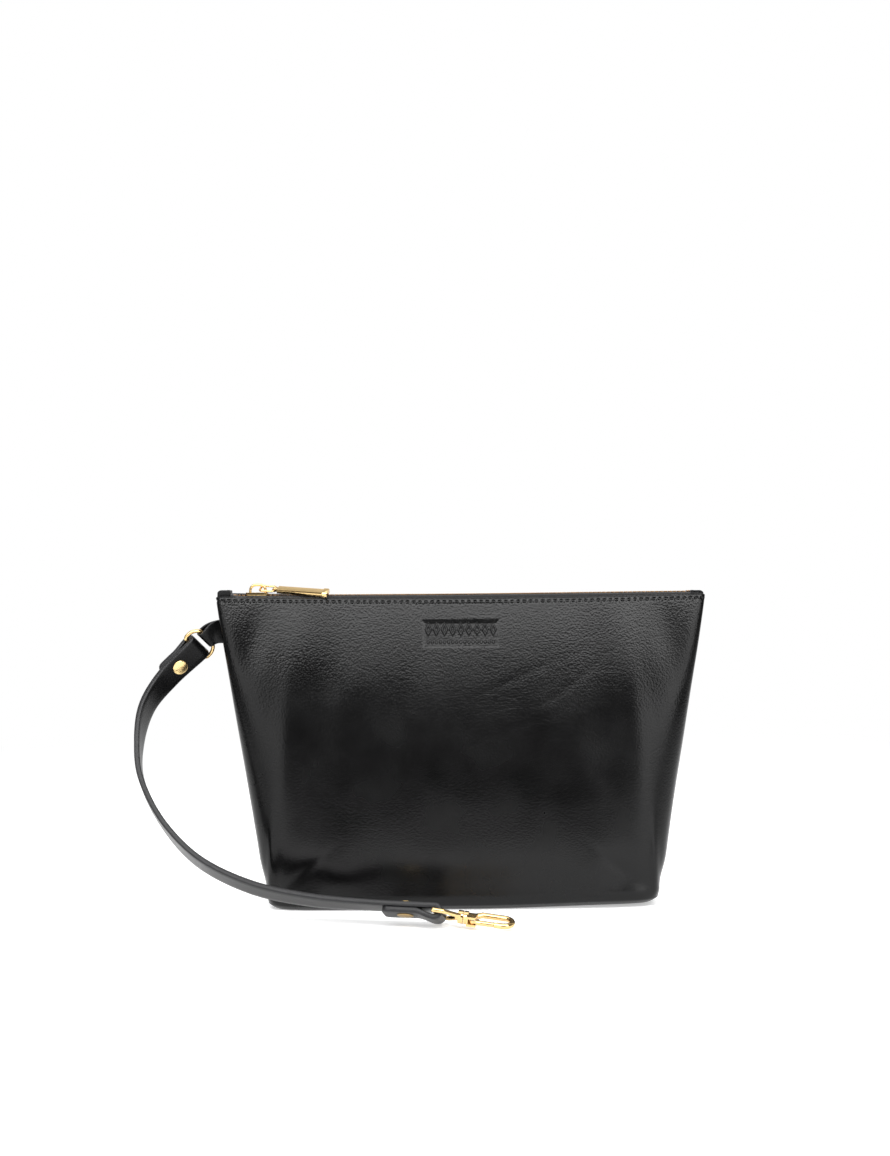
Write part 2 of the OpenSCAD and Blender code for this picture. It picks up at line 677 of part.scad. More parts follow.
module clasp_gate() {
    tip_x = nose_x - gate_gap;
    color(GOLD)
        place(clasp_at + hook_x * clasp_dir, clasp_dir, hook_y, hook_z)
            difference() {
                union() {
                    translate([gate_pivot[0], gate_pivot[1], -hub_half_z]) cylinder(h = 2 * hub_half_z, r = 1.55);
                    translate([gate_pivot[0] + 2.2, nose_y, 0]) rotate([0, 90, 0])
                        cylinder(h = tip_x - gate_pivot[0] - 2.2, r = gate_r);
                    translate([gate_pivot[0], nose_y, -hub_half_z]) cube([3.4, 2.4, 2 * hub_half_z]);
                    translate([tip_x - 1, nose_y + 0.1, -0.9]) cube([lap + 0.9, 1.1, 1.8]);
                }
                translate([gate_pivot[0], gate_pivot[1], -4]) cylinder(h = 8, r = gate_pin_r + 0.05);
            }
}
module gate_pin() {
    color(GOLD)
        place(clasp_at + hook_x * clasp_dir, clasp_dir, hook_y, hook_z)
            translate([gate_pivot[0], gate_pivot[1], -fork_half_z]) cylinder(h = 2 * fork_half_z, r = gate_pin_r);
}
// Torsion spring: two turns round the pin above the gate's hub, and a leg each way
module gate_spring() {
    wire = 0.14;
    turn = gate_pin_r + 0.25;
    color(BRASS)
        place(clasp_at + hook_x * clasp_dir, clasp_dir, hook_y, hook_z)
            translate([gate_pivot[0], gate_pivot[1], hub_half_z + 0.17])
                union() {
                    rotate_extrude() translate([turn, 0]) circle(r = wire, $fn = 16);
                    translate([0, 0, 0.26]) rotate_extrude() translate([turn, 0]) circle(r = wire, $fn = 16);
                    translate([0, -turn, 0.13]) rotate([0, 90, 0]) cylinder(h = 2.1, r = wire, $fn = 16);
                }
}

front_panel();
back_panel();
lining_front();
lining_back();
zipper_tape_front();
zipper_tape_back();
zipper_teeth_front();
zipper_teeth_back();
zipper_top_stops();
zipper_bottom_stop();
end_tab_left();
end_tab_right();
slider_body();
slider_bail();
pull_link();
pull_bar();
side_tab();
d_ring();
strap();
rivet_cap_ring_end();
rivet_post_ring_end();
rivet_cap_clasp_end();
rivet_post_clasp_end();
clasp_eye();
swivel_post();
clasp_hook();
clasp_gate();
gate_pin();
gate_spring();
top_stitching_front();
top_stitching_back();
end_tab_stitching();
side_seam_thread();
base_seam_thread();
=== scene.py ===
import json
import math

import bmesh
import bpy
import numpy as np
from mathutils import Matrix, Vector


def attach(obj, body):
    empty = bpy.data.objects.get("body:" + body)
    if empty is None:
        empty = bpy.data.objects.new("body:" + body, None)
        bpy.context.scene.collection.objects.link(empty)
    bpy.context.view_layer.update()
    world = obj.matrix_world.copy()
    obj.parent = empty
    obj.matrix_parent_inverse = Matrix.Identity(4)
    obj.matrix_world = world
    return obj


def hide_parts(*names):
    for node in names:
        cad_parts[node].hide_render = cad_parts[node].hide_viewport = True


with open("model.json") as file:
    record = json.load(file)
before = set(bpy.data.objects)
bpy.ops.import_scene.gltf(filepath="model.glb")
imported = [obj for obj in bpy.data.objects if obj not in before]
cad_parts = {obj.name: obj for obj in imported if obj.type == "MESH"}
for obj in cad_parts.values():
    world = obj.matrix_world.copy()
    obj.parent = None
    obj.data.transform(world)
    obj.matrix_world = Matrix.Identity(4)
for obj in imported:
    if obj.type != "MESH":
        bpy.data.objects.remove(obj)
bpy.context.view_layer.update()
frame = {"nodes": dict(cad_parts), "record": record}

# lengths in this script are in millimetres and MM turns them into metres
MM = 0.001
TOP_W, BASE_W, BAG_H, BASE_D, MOUTH_D = 280.0, 221.0, 175.0, 54.0, 17.0
LEATHER_T, BASE_R = 1.8, 3.2
CHAIN_Z = BAG_H + 0.8
SLIDER_X = -116.4
STRAP_W, STRAP_T = 15.0, 3.0
STITCH_Z, STITCH_END_X, STITCH_PITCH = BAG_H - 2.4, 133.0, 3.5


def unit(v):
    """The vector at length 1."""
    v = np.asarray(v, float)
    return v / np.linalg.norm(v)


def mix(a, b, t):
    """From a at t = 0 to b at t = 1."""
    return a + (b - a) * t


def smooth(t):
    """An even step from 0 at t = 0 to 1 at t = 1."""
    t = np.clip(t, 0.0, 1.0)
    return t * t * (3 - 2 * t)


def smooth_at(t):
    """smooth() of one number."""
    return float(smooth(np.array(t)))


def bezier(p, t):
    """A cubic curve through four control values."""
    return p[0] * (1 - t) ** 3 + 3 * p[1] * t * (1 - t) ** 2 + 3 * p[2] * t * t * (1 - t) + p[3] * t ** 3


# ---------------------------------------------------------------- mesh helpers

def make(name, verts, faces, mats, body, face_mats=None):
    """A smooth mesh object from millimetre vertices, riding on a CAD body."""
    mesh = bpy.data.meshes.new(name)
    mesh.from_pydata([tuple(float(c) * MM for c in v) for v in verts], [],
                     [tuple(int(i) for i in f) for f in faces])
    mesh.update()
    obj = bpy.data.objects.new(name, mesh)
    bpy.context.scene.collection.objects.link(obj)
    for m in mats if isinstance(mats, list) else [mats]:
        mesh.materials.append(m)
    if face_mats is not None:
        mesh.polygons.foreach_set("material_index", face_mats)
    bm = bmesh.new()
    bm.from_mesh(mesh)
    bmesh.ops.remove_doubles(bm, verts=bm.verts, dist=2e-6)
    bmesh.ops.recalc_face_normals(bm, faces=bm.faces)
    bm.to_mesh(mesh)
    bm.free()
    mesh.polygons.foreach_set("use_smooth", [True] * len(mesh.polygons))
    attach(obj, body)
    return obj


def sharp_by_angle(obj, degrees):
    """Marks edges sharper than an angle, so that smooth shading stops at them."""
    bm = bmesh.new()
    bm.from_mesh(obj.data)
    limit = math.radians(degrees)
    for e in bm.edges:
        if len(e.link_faces) == 2 and e.calc_face_angle(0.0) > limit:
            e.smooth = False
    bm.to_mesh(obj.data)
    bm.free()


def bevelled_copy(cad, name, mat, width, segments=3):
    """The CAD node's shape with rounded edges, in place of the node."""
    src = frame["nodes"][cad]
    mesh = src.data.copy()
    mesh.name = name
    obj = bpy.data.objects.new(name, mesh)
    bpy.context.scene.collection.objects.link(obj)
    obj.matrix_world = src.matrix_world.copy()
    mesh.materials.clear()
    mesh.materials.append(mat)
    bm = bmesh.new()
    bm.from_mesh(mesh)
    bmesh.ops.remove_doubles(bm, verts=bm.verts, dist=1e-6)
    bmesh.ops.dissolve_limit(bm, angle_limit=math.radians(1.0), verts=bm.verts, edges=bm.edges)
    bm.to_mesh(mesh)
    bm.free()
    bevel = obj.modifiers.new("bevel", "BEVEL")
    bevel.width = width * MM
    bevel.segments = segments
    bevel.limit_method = "ANGLE"
    bevel.angle_limit = math.radians(30)
    bevel.harden_normals = False
    mesh.polygons.foreach_set("use_smooth", [True] * len(mesh.polygons))
    depsgraph = bpy.context.evaluated_depsgraph_get()
    done = bpy.data.meshes.new_from_object(obj.evaluated_get(depsgraph))
    obj.modifiers.clear()
    obj.data = done
    sharp_by_angle(obj, 50)
    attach(obj, BODY_OF[cad])
    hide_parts(cad)
    return obj


def tube(points, radius, closed=False, sides=20):
    """Vertices and faces of a round tube along points, open or closed in a loop."""
    P = np.asarray(points, float)
    n = len(P)
    R = np.full(n, radius) if np.isscalar(radius) else np.asarray(radius, float)
    if closed:
        T = np.roll(P, -1, 0) - np.roll(P, 1, 0)
    else:
        T = np.gradient(P, axis=0)
    T /= np.linalg.norm(T, axis=1)[:, None]
    # the cross-section's first axis is carried along the path without twist
    ref = np.array([0.0, 0.0, 1.0]) if abs(T[0][2]) < 0.9 else np.array([1.0, 0.0, 0.0])
    U = [unit(np.cross(T[0], ref))]
    for k in range(1, n):
        U.append(unit(U[-1] - (U[-1] @ T[k]) * T[k]))
    # in a loop, the turn that is left over at the end is shared out along it
    off = 0.0
    if closed:
        back = unit(U[-1] - (U[-1] @ T[0]) * T[0])
        off = math.atan2(np.cross(back, U[0]) @ T[0], back @ U[0])
    V = []
    for k in range(n):
        w = np.cross(T[k], U[k])
        for s in range(sides):
            a = 2 * math.pi * s / sides + off * k / n
            V.append(P[k] + R[k] * (math.cos(a) * U[k] + math.sin(a) * w))
    F = []
    for k in range(n if closed else n - 1):
        a, b = k * sides, ((k + 1) % n) * sides
        for s in range(sides):
            t = (s + 1) % sides
            F.append((a + s, a + t, b + t, b + s))
    if not closed:
        F.append(tuple(range(sides))[::-1])
        F.append(tuple((n - 1) * sides + s for s in range(sides)))
    return V, F


def lathe(profile, sides=64):
    """Vertices and faces of a profile [(radius, height), ...] turned round Z; its ends lie on the axis."""
    V, F, rings = [], [], []
    for r, z in profile:
        if r < 1e-6:
            rings.append([len(V)])
            V.append((0, 0, z))
        else:
            rings.append(list(range(len(V), len(V) + sides)))
            V += [(r * math.cos(2 * math.pi * s / sides), r * math.sin(2 * math.pi * s / sides), z)
                  for s in range(sides)]
    for A, B in zip(rings, rings[1:]):
        for s in range(sides):
            t = (s + 1) % sides
            if len(A) == 1:
                F.append((A[0], B[t], B[s]))
            elif len(B) == 1:
                F.append((A[s], A[t], B[0]))
            else:
                F.append((A[s], A[t], B[t], B[s]))
    return V, F


def placed(V, p, x, y, z):
    """Vertices moved to a place p with axes x, y and z."""
    M = np.column_stack([x, y, z])
    return [tuple(np.asarray(p) + M @ np.asarray(v, float)) for v in V]


def joined(parts):
    """One mesh from several lists of vertices and faces."""
    V, F = [], []
    for v, f in parts:
        base = len(V)
        V += list(v)
        F += [tuple(i + base for i in face) for face in f]
    return V, F


def arc(center, x, y, radius, start, sweep, steps):
    """Points of an arc about a centre, from x towards y, in degrees."""
    return [np.asarray(center) + radius * (math.cos(a) * np.asarray(x) + math.sin(a) * np.asarray(y))
            for a in [math.radians(start + sweep * k / steps) for k in range(steps + 1)]]


def moved(part, offset):
    """Vertices and faces of a part after a move."""
    V, F = part
    return [tuple(c + o for c, o in zip(v, offset)) for v in V], F


# ---------------------------------------------------------------- materials

def material(name):
    """A new node material, with its node tree and its shader."""
    m = bpy.data.materials.new(name)
    m.use_nodes = True
    nt = m.node_tree
    bsdf = nt.nodes["Principled BSDF"]
    return m, nt, bsdf


def node(nt, kind, **values):
    """A new node with its inputs or settings filled in by name."""
    n = nt.nodes.new(kind)
    for key, value in values.items():
        if key in n.inputs:
            n.inputs[key].default_value = value
        else:
            setattr(n, key, value)
    return n


def map_range(nt, value, low, high, to_low=0.0, to_high=1.0):
    """The output of a Map Range node fed by a value."""
    n = node(nt, "ShaderNodeMapRange",
             **{"From Min": low, "From Max": high, "To Min": to_low, "To Max": to_high})
    nt.links.new(value, n.inputs["Value"])
    return n.outputs["Result"]


def math_node(nt, operation, a, b=None):
    """The output of a Math node; b is another output, a number or nothing."""
    n = node(nt, "ShaderNodeMath", operation=operation)
    nt.links.new(a, n.inputs[0])
    if isinstance(b, float):
        n.inputs[1].default_value = b
    elif b is not None:
        nt.links.new(b, n.inputs[1])
    return n.outputs[0]


def vector_node(nt, operation, a, b=None):
    """The Vector Math node of an operation on an output and three numbers."""
    n = node(nt, "ShaderNodeVectorMath", operation=operation)
    nt.links.new(a, n.inputs[0])
    if b is not None:
        n.inputs[1].default_value = b
    return n


def bump_node(nt, height, strength, distance, normal=None):
    """The normal out of a Bump node, laid over another normal if there is one."""
    n = node(nt, "ShaderNodeBump", Strength=strength, Distance=distance)
    nt.links.new(height, n.inputs["Height"])
    if normal is not None:
        nt.links.new(normal, n.inputs["Normal"])
    return n.outputs["Normal"]


def colour_ramp(nt, value, dark, light, dark_at=0.0, light_at=1.0):
    """The colour out of a two-colour ramp."""
    n = node(nt, "ShaderNodeValToRGB")
    for stop, position, colour in zip(n.color_ramp.elements, (dark_at, light_at), (dark, light)):
        stop.position = position
        stop.color = (*colour, 1)
    nt.links.new(value, n.inputs["Fac"])
    return n.outputs["Color"]


def tinted(colour, factor):
    return [c * factor for c in colour]


def object_coords(nt, scale=(1, 1, 1), rotation=(0, 0, 0)):
    tc = nt.nodes.new("ShaderNodeTexCoord")
    mp = nt.nodes.new("ShaderNodeMapping")
    mp.inputs["Scale"].default_value = scale
    mp.inputs["Rotation"].default_value = rotation
    nt.links.new(tc.outputs["Object"], mp.inputs["Vector"])
    return mp.outputs["Vector"]


def leather(name, colour, rough, grain=1.0, creases=0.0, specular=0.42):
    """Smooth finished leather: pebble grain, pores, soft unevenness and, if asked for, thin wrinkles."""
    m, nt, bsdf = material(name)
    L = nt.links.new
    co = object_coords(nt)
    pebble = node(nt, "ShaderNodeTexVoronoi", feature="F1", Scale=860.0, Randomness=1.0)
    pores = node(nt, "ShaderNodeTexNoise", Scale=2600.0, Detail=3.0, Roughness=0.6)
    soft = node(nt, "ShaderNodeTexNoise", Scale=38.0, Detail=2.0, Roughness=0.5)
    for texture in (pebble, pores, soft):
        L(co, texture.inputs["Vector"])
    pebble_h = map_range(nt, pebble.outputs["Distance"], 0.0, 0.8, 1.0, 0.0)
    if creases:
        # the hide is smoother where it is stretched round the base
        sep = node(nt, "ShaderNodeSeparateXYZ")
        L(co, sep.inputs[0])
        pebble_h = math_node(nt, "MULTIPLY", pebble_h, map_range(nt, sep.outputs["Z"], 0.05, 0.14, 0.3, 1.0))
    normal = bump_node(nt, pebble_h, 0.25 * grain, 0.0003)
    normal = bump_node(nt, pores.outputs["Fac"], 0.05 * grain, 0.0001, normal)
    normal = bump_node(nt, soft.outputs["Fac"], 0.10, 0.0008, normal)
    if creases:
        normal = bump_node(nt, wrinkles(nt, co), creases, 0.0001, normal)
    L(normal, bsdf.inputs["Normal"])
    L(colour_ramp(nt, soft.outputs["Fac"], tinted(colour, 0.75), tinted(colour, 1.35), 0.3, 0.75),
      bsdf.inputs["Base Color"])
    L(map_range(nt, soft.outputs["Fac"], 0.25, 0.75, rough - 0.05, rough + 0.06), bsdf.inputs["Roughness"])
    bsdf.inputs["Specular IOR Level"].default_value = specular
    return m


def wrinkles(nt, co):
    """Height of thin wrinkles that run up to the right, in one place right of the middle."""
    line = node(nt, "ShaderNodeTexNoise", Scale=1.0, Detail=3.0, Roughness=0.55)
    nt.links.new(object_coords(nt, scale=(22.0, 1.0, 150.0), rotation=(0, math.radians(20), 0)),
                 line.inputs["Vector"])
    ridge = math_node(nt, "ABSOLUTE", math_node(nt, "SUBTRACT", line.outputs["Fac"], 0.5))
    thin = map_range(nt, ridge, 0.0, 0.02)
    offset = vector_node(nt, "SUBTRACT", co, (0.055, 0.0, 0.122))
    scaled = vector_node(nt, "MULTIPLY", offset.outputs["Vector"], (16.0, 0.0, 34.0))
    away = vector_node(nt, "LENGTH", scaled.outputs["Vector"])
    keep = node(nt, "ShaderNodeMix", data_type="FLOAT")
    keep.inputs[2].default_value = 1.0
    nt.links.new(map_range(nt, away.outputs["Value"], 1.1, 0.5), keep.inputs[0])
    nt.links.new(thin, keep.inputs[3])
    return keep.outputs[0]


def metal(name, colour, rough, wear=0.05):
    """Plated metal: fine polishing marks and uneven gloss."""
    m, nt, bsdf = material(name)
    L = nt.links.new
    blotch = node(nt, "ShaderNodeTexNoise", Scale=420.0, Detail=5.0, Roughness=0.65)
    L(object_coords(nt), blotch.inputs["Vector"])
    marks = node(nt, "ShaderNodeTexNoise", Scale=1.0, Detail=2.0)
    L(object_coords(nt, scale=(220.0, 3200.0, 3200.0)), marks.inputs["Vector"])
    L(map_range(nt, blotch.outputs["Fac"], 0.3, 0.7, max(0.04, rough - wear), rough + wear),
      bsdf.inputs["Roughness"])
    L(colour_ramp(nt, blotch.outputs["Fac"], tinted(colour, 0.86), colour, 0.25, 0.7),
      bsdf.inputs["Base Color"])
    L(bump_node(nt, marks.outputs["Fac"], 0.035, 0.00005), bsdf.inputs["Normal"])
    bsdf.inputs["Metallic"].default_value = 1.0
    return m


def woven(name, colour, pitch, rough=0.85):
    """Woven cloth from crossed sets of threads, pitch metres apart."""
    m, nt, bsdf = material(name)
    L = nt.links.new
    threads = []
    for axis in "XYZ":
        wave = node(nt, "ShaderNodeTexWave", wave_type="BANDS", bands_direction=axis, Scale=0.314 / pitch,
                    Distortion=0.4, Detail=1.0)
        L(object_coords(nt), wave.inputs["Vector"])
        threads.append(wave.outputs["Fac"])
    weave = math_node(nt, "MULTIPLY", math_node(nt, "MAXIMUM", threads[0], 0.5),
                      math_node(nt, "MAXIMUM", threads[1], threads[2]))
    fuzz = node(nt, "ShaderNodeTexNoise", Scale=1800.0, Detail=3.0)
    L(object_coords(nt), fuzz.inputs["Vector"])
    normal = bump_node(nt, weave, 0.55, 0.00018)
    L(bump_node(nt, fuzz.outputs["Fac"], 0.2, 0.0001, normal), bsdf.inputs["Normal"])
    L(colour_ramp(nt, weave, tinted(colour, 0.5), tinted(colour, 1.3)), bsdf.inputs["Base Color"])
    bsdf.inputs["Roughness"].default_value = rough
    bsdf.inputs["Sheen Weight"].default_value = 0.25
    return m


BAG_LEATHER = leather("bag_leather", (0.0015, 0.0015, 0.0016), 0.25, 1.0, creases=0.16, specular=0.25)
STRAP_LEATHER = leather("strap_leather", (0.0020, 0.0020, 0.0022), 0.30, 0.35, specular=0.18)
TAB_LEATHER = leather("tab_leather", (0.004, 0.004, 0.0042), 0.5, 0.5, specular=0.22)
EDGE_PAINT = leather("edge_paint", (0.014, 0.014, 0.015), 0.42, 0.6, specular=0.3)
LINING = woven("lining_cloth", (0.02, 0.02, 0.023), 0.0006)
TAPE = woven("tape_cloth", (0.012, 0.012, 0.013), 0.00055)
THREAD = woven("thread", (0.005, 0.005, 0.0052), 0.0003)
BRASS = metal("zip_brass", (0.24, 0.14, 0.065), 0.32, 0.08)
GOLD = metal("gold", (0.77, 0.54, 0.245), 0.08, 0.03)
SATIN_GOLD = metal("satin_gold", (0.86, 0.64, 0.30), 0.26, 0.05)
DULL_GOLD = metal("dull_gold", (0.42, 0.29, 0.13), 0.38, 0.1)
STEEL = metal("spring_steel", (0.62, 0.62, 0.64), 0.25, 0.05)

SLOT_MATERIAL = {"bag_leather": BAG_LEATHER, "strap_leather": STRAP_LEATHER, "lining": LINING,
                 "tape": TAPE, "thread": THREAD, "zip_brass": BRASS, "gold": GOLD,
                 "dull_gold": DULL_GOLD, "spring_steel": STEEL}
SLOT_OF = {s["node"]: s["material_slot"] for s in frame["record"]["subparts"]}
BODY_OF = {n: b for b, nodes in frame["record"]["behaviour"]["bodies"].items() for n in nodes}
for name, obj in frame["nodes"].items():
    obj.data.materials.clear()
    obj.data.materials.append(SLOT_MATERIAL[SLOT_OF[name]])


def stands_for(obj, cad):
    """The piece takes the place of a CAD node, which is hidden."""
    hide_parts(cad)
    return obj


# ---------------------------------------------------------------- leather shell

def half_w(z):
    """Half the bag's width at height z."""
    return mix(BASE_W, TOP_W, z / BAG_H) / 2


def half_d(z):
    """Half the bag's depth at height z."""
    return bezier([BASE_D / 2, BASE_D / 2 + 8, 24, MOUTH_D / 2], z / BAG_H)


def squareness(z):
    """Exponent of the superellipse that the bag's cross-section is."""
    return bezier([8, 2.4, 2.6, 12], z / BAG_H)


def drawn_in(h, r):
    """How far a base edge of radius r is set back at height h."""
    return r - math.sqrt(max(0.0, r * r - (r - h) ** 2)) if h < r else 0.0


def loop_shape(z, off, at):
    """Points of the front half cross-section at height z, offset inwards, at fractions of its length."""
    r = max(BASE_R - off, 0.5)
    a = half_w(z) - off - drawn_in(max(z - off, 0.0), r)
    b = half_d(z) - off - drawn_in(max(z - off, 0.0), r)
    e = 2 / squareness(z)
    t = np.linspace(0, math.pi, 1500)
    c, s = np.cos(t), np.sin(t)
    x = -a * np.sign(c) * np.abs(c) ** e
    y = -b * np.abs(s) ** e
    d = np.concatenate([[0], np.cumsum(np.hypot(np.diff(x), np.diff(y)))])
    d /= d[-1]
    return np.interp(at, d, x), np.interp(at, d, y)


def bump(x, z, cx, cz, sx, sz, amount, turn=0.0):
    """A soft elliptical swelling about (cx, cz), turned in the panel by some degrees."""
    c, s = math.cos(math.radians(turn)), math.sin(math.radians(turn))
    u = (x - cx) * c + (z - cz) * s
    v = -(x - cx) * s + (z - cz) * c
    return amount * np.exp(-(u / sx) ** 2 - (v / sz) ** 2)


def waves(x, z, seed):
    """Slow unevenness of soft leather."""
    rng = np.random.RandomState(seed)
    total = np.zeros_like(x)
    count = 14
    for _ in range(count):
        lx, lz = rng.uniform(28, 90), rng.uniform(35, 110)
        px, pz = rng.uniform(0, 6.28, 2)
        total += (rng.uniform(0.4, 1.0) * np.sin(x / lx * 2 * math.pi / 1.6 + px)
                  * np.sin(z / lz * 2 * math.pi / 1.6 + pz))
    return total / count


BAND_Z, BAND_HALF_W, BAND_HALF_H = 154.6, 21.2, 7.2
LOZENGE_Z, LOZENGE_PITCH, LOZENGE_HALF_W, LOZENGE_HALF_H = 157.0, 4.6, 2.2, 4.4
DOT_Z, DOT_PITCH, DOT_HALF_W, DOT_HALF_H = 149.6, 2.3, 0.95, 1.35


def from_nearest(x, pitch):
    """Distance from the nearest multiple of a pitch."""
    return np.abs(x - pitch * np.round(x / pitch))


def pressed_band(x, z):
    """A plain pressed band: a soft hollow with a row of outlined lozenges over a row of dots."""
    outside = np.maximum(np.abs(x) - BAND_HALF_W, np.abs(z - BAND_Z) - BAND_HALF_H)
    d = -0.6 * smooth((1.2 - outside) / 3.0)
    lozenge = from_nearest(x, LOZENGE_PITCH) / LOZENGE_HALF_W + np.abs(z - LOZENGE_Z) / LOZENGE_HALF_H
    outline = 0.62 * smooth((1.0 - lozenge) / 0.22) - 0.5 * smooth((0.52 - lozenge) / 0.2)
    d += smooth((21.0 - np.abs(x)) / 0.3) * outline
    dot = np.hypot(from_nearest(x, DOT_PITCH) / DOT_HALF_W, (z - DOT_Z) / DOT_HALF_H)
    return d + 0.45 * smooth((19.6 - np.abs(x)) / 0.3) * smooth((1.0 - dot) / 0.4)


def stitch_grooves(x, z):
    """Each stitch lies in its own short groove, with the leather puffed up between them."""
    row = np.exp(-((z - STITCH_Z) / 0.6) ** 2)
    count = (x + STITCH_END_X + 0.45) / STITCH_PITCH
    near = np.abs(count - np.floor(count) - 0.5) * STITCH_PITCH
    return row * (0.12 - 0.6 * smooth((1.1 - near) / 0.35))


def relief(x, z, front):
    """How far the leather stands out from its plain shape, in mm."""
    d = 0.8 * waves(x, z, 3 if front else 8) * smooth((BAG_H - z) / 60) * smooth(z / 25)
    for side in (-1, 1):
        # long soft folds down from the mouth's corners, and the dents above the boxed corners
        d += bump(x, z, side * 96, 112, 9, 62, 0.9, side * 6)
        d += bump(x, z, side * 80, 105, 12, 60, -0.8, side * 5)
        d += bump(x, z, side * 88, 20, 10, 15, -0.9, side * 24)
        d += bump(x, z, side * 66, 16, 13, 10, 0.8, side * 10)
        d += bump(x, z, side * 118, 150, 9, 22, -0.9, side * 10)
        # the upright ridge and the slanting crease of a boxed corner
        d += bump(x, z, side * 107, 20, 2.5, 22, 1.1)
        d += bump(x, z, side * 88, 22, 15, 2.8, -0.45, side * -39)
    d += bump(x, z, 12, 62, 60, 36, 0.8)
    # the fullness of the lower front, and the roll over the base's edge
    d += 1.3 * np.exp(-((z - 24) / 20) ** 2) * smooth((112 - np.abs(x)) / 40)
    d += 2.6 * np.exp(-(z / 10) ** 2)
    # a few shallow wrinkles right of the middle
    for cx, cz, sx, sz, amount, turn in ((30, 128, 26, 2.4, -0.10, 24), (52, 118, 22, 2.0, -0.09, 31),
                                         (38, 104, 20, 2.0, -0.08, 18), (70, 132, 16, 1.8, -0.07, 38)):
        d += bump(x, z, cx, cz, sx, sz, amount, turn)
    if front:
        d += pressed_band(x, z)
    return d + stitch_grooves(x, z)


def edge_rise(x, front=True):
    """The mouth's edge sags between its sewn ends; the back stands up a little behind the closed slider."""
    u = np.clip(x / 140, -1, 1)
    rise = 0.5 - 0.4 * u - 1.6 * (1 - u * u)
    return rise if front else rise + 2.3 * smooth((-48 - x) / 48) * smooth((x + 139) / 7)


def fractions(n):
    """Column places along the panel from seam to seam, closer at the pressed band and at the seams."""
    grid = np.linspace(0, 1, 4000)
    density = 1 + 1.9 * smooth((0.105 - np.abs(grid - 0.5)) / 0.03)
    f = np.interp(np.linspace(0, 1, n), np.cumsum(density) / density.sum(), grid)
    edge = np.array([0, 0.0012, 0.0026, 0.0042, 0.0065, 0.0095])
    inner = f[(f > 0.012) & (f < 0.988)]
    return np.concatenate([edge, inner, 1 - edge[::-1]])


LEATHER_COLUMNS, LINING_COLUMNS = fractions(760), fractions(190)
# row heights: the base's edge, the body, the pressed band, and the top with its stitches
Z_ROWS = np.concatenate([BASE_R * (1 - np.cos(np.linspace(0, math.pi / 2, 9))), np.linspace(7.5, 144, 86),
                         np.linspace(145, 163, 64), np.linspace(163.5, BAG_H - 0.9, 26)])


def base_lift(x, z):
    """The right end of the base stands a little off the floor."""
    return 1.8 * smooth((x - 5) / 95) * smooth((30 - z) / 30)


def leather_surface(x, y, z, front, at, outer):
    """A row of the leather moved by its relief, its seams and its sagging mouth; returns x, y and z."""
    d = relief(x, np.full_like(x, z), front)
    from_seam = np.minimum(at, 1 - at) * 2 * (half_w(z) + half_d(z))
    d = d * smooth(from_seam / 9.0) * smooth(z / 5)
    # the side seam is drawn in, with the leather rolling over to it
    d -= 1.1 * np.exp(-(from_seam / 0.9) ** 2) + 0.25 * np.exp(-((from_seam - 5) / 1.3) ** 2)
    if not outer:
        d = np.where(from_seam < 2.5, -0.1, d)
    tx, ty = np.gradient(x), np.gradient(y)
    length = np.hypot(tx, ty) + 1e-9
    lift = base_lift(x, z)
    x, y = x + ty / length * d, np.minimum(y - tx / length * d, 0.0)
    return x, y, z + edge_rise(x, front) * smooth((z - 110) / 65) + lift


def shell(front, off_out, thick, top, name, mat, cad, detail=True):
    """A panel with an outer and an inner wall, open at the mouth's side and closed along its seams."""
    sgn = 1.0 if front else -1.0
    at = LEATHER_COLUMNS if detail else LINING_COLUMNS
    levels = Z_ROWS if detail else Z_ROWS[::3]
    levels = np.concatenate([levels[levels < top - 1.0], [top - thick / 2]])
    # height and inward offset of each row: up outside, over the rounded top, down inside
    inside = off_out + thick
    path = [(max(z, off_out), off_out) for z in levels]
    for k in range(1, 6):
        a = math.pi * k / 6
        path.append((top - thick / 2 + thick / 2 * math.sin(a), off_out + thick / 2 * (1 - math.cos(a))))
    path += [(max(z, inside), inside) for z in levels[::-3]] + [(inside, inside)]
    rows = []
    for z, off in path:
        x, y = loop_shape(min(z, BAG_H), off, at)
        # the boxed corners draw in towards the base
        x = x * (1 - 0.03 * smooth((29 - z) / 29))
        if detail:
            x, y, zc = leather_surface(x, y, z, front, at, off <= off_out + thick * 0.4)
        else:
            zc = z + base_lift(x, z)
        rows.append(np.column_stack([x, sgn * y, zc]))
    n_rows, n = len(rows), len(at)
    F = []
    for i in range(n_rows - 1):
        for j in range(n - 1):
            a = i * n + j
            F.append((a, a + 1, a + n + 1, a + n))
    # seam edges at the two ends join the outer and inner walls
    for col in (0, n - 1):
        F.append(tuple(i * n + col for i in range(n_rows)))
    # the two base faces, outer and inner, and the strip along the middle seam
    last = (n_rows - 1) * n
    for row in (0, last):
        for j in range(n // 2):
            a, b, c, d = row + j, row + j + 1, row + n - 2 - j, row + n - 1 - j
            if b < c:
                F.append((a, b, c, d))
            elif b == c:
                F.append((a, b, d))
    F.append((0, n - 1, last + n - 1, last))
    obj = make(name, np.vstack(rows), F, mat, "bag")
    sharp_by_angle(obj, 60)
    return stands_for(obj, cad)


for front, side in ((True, "front"), (False, "back")):
    shell(front, 0.0, LEATHER_T, BAG_H, "leather_" + side, BAG_LEATHER, side + "_panel")
LINING_OFF, LINING_T, LINING_TOP = LEATHER_T + 0.75, 0.6, BAG_H - 10
for front, side in ((True, "front"), (False, "back")):
    shell(front, LINING_OFF, LINING_T, LINING_TOP, "lining_cloth_" + side, LINING, "lining_" + side, False)


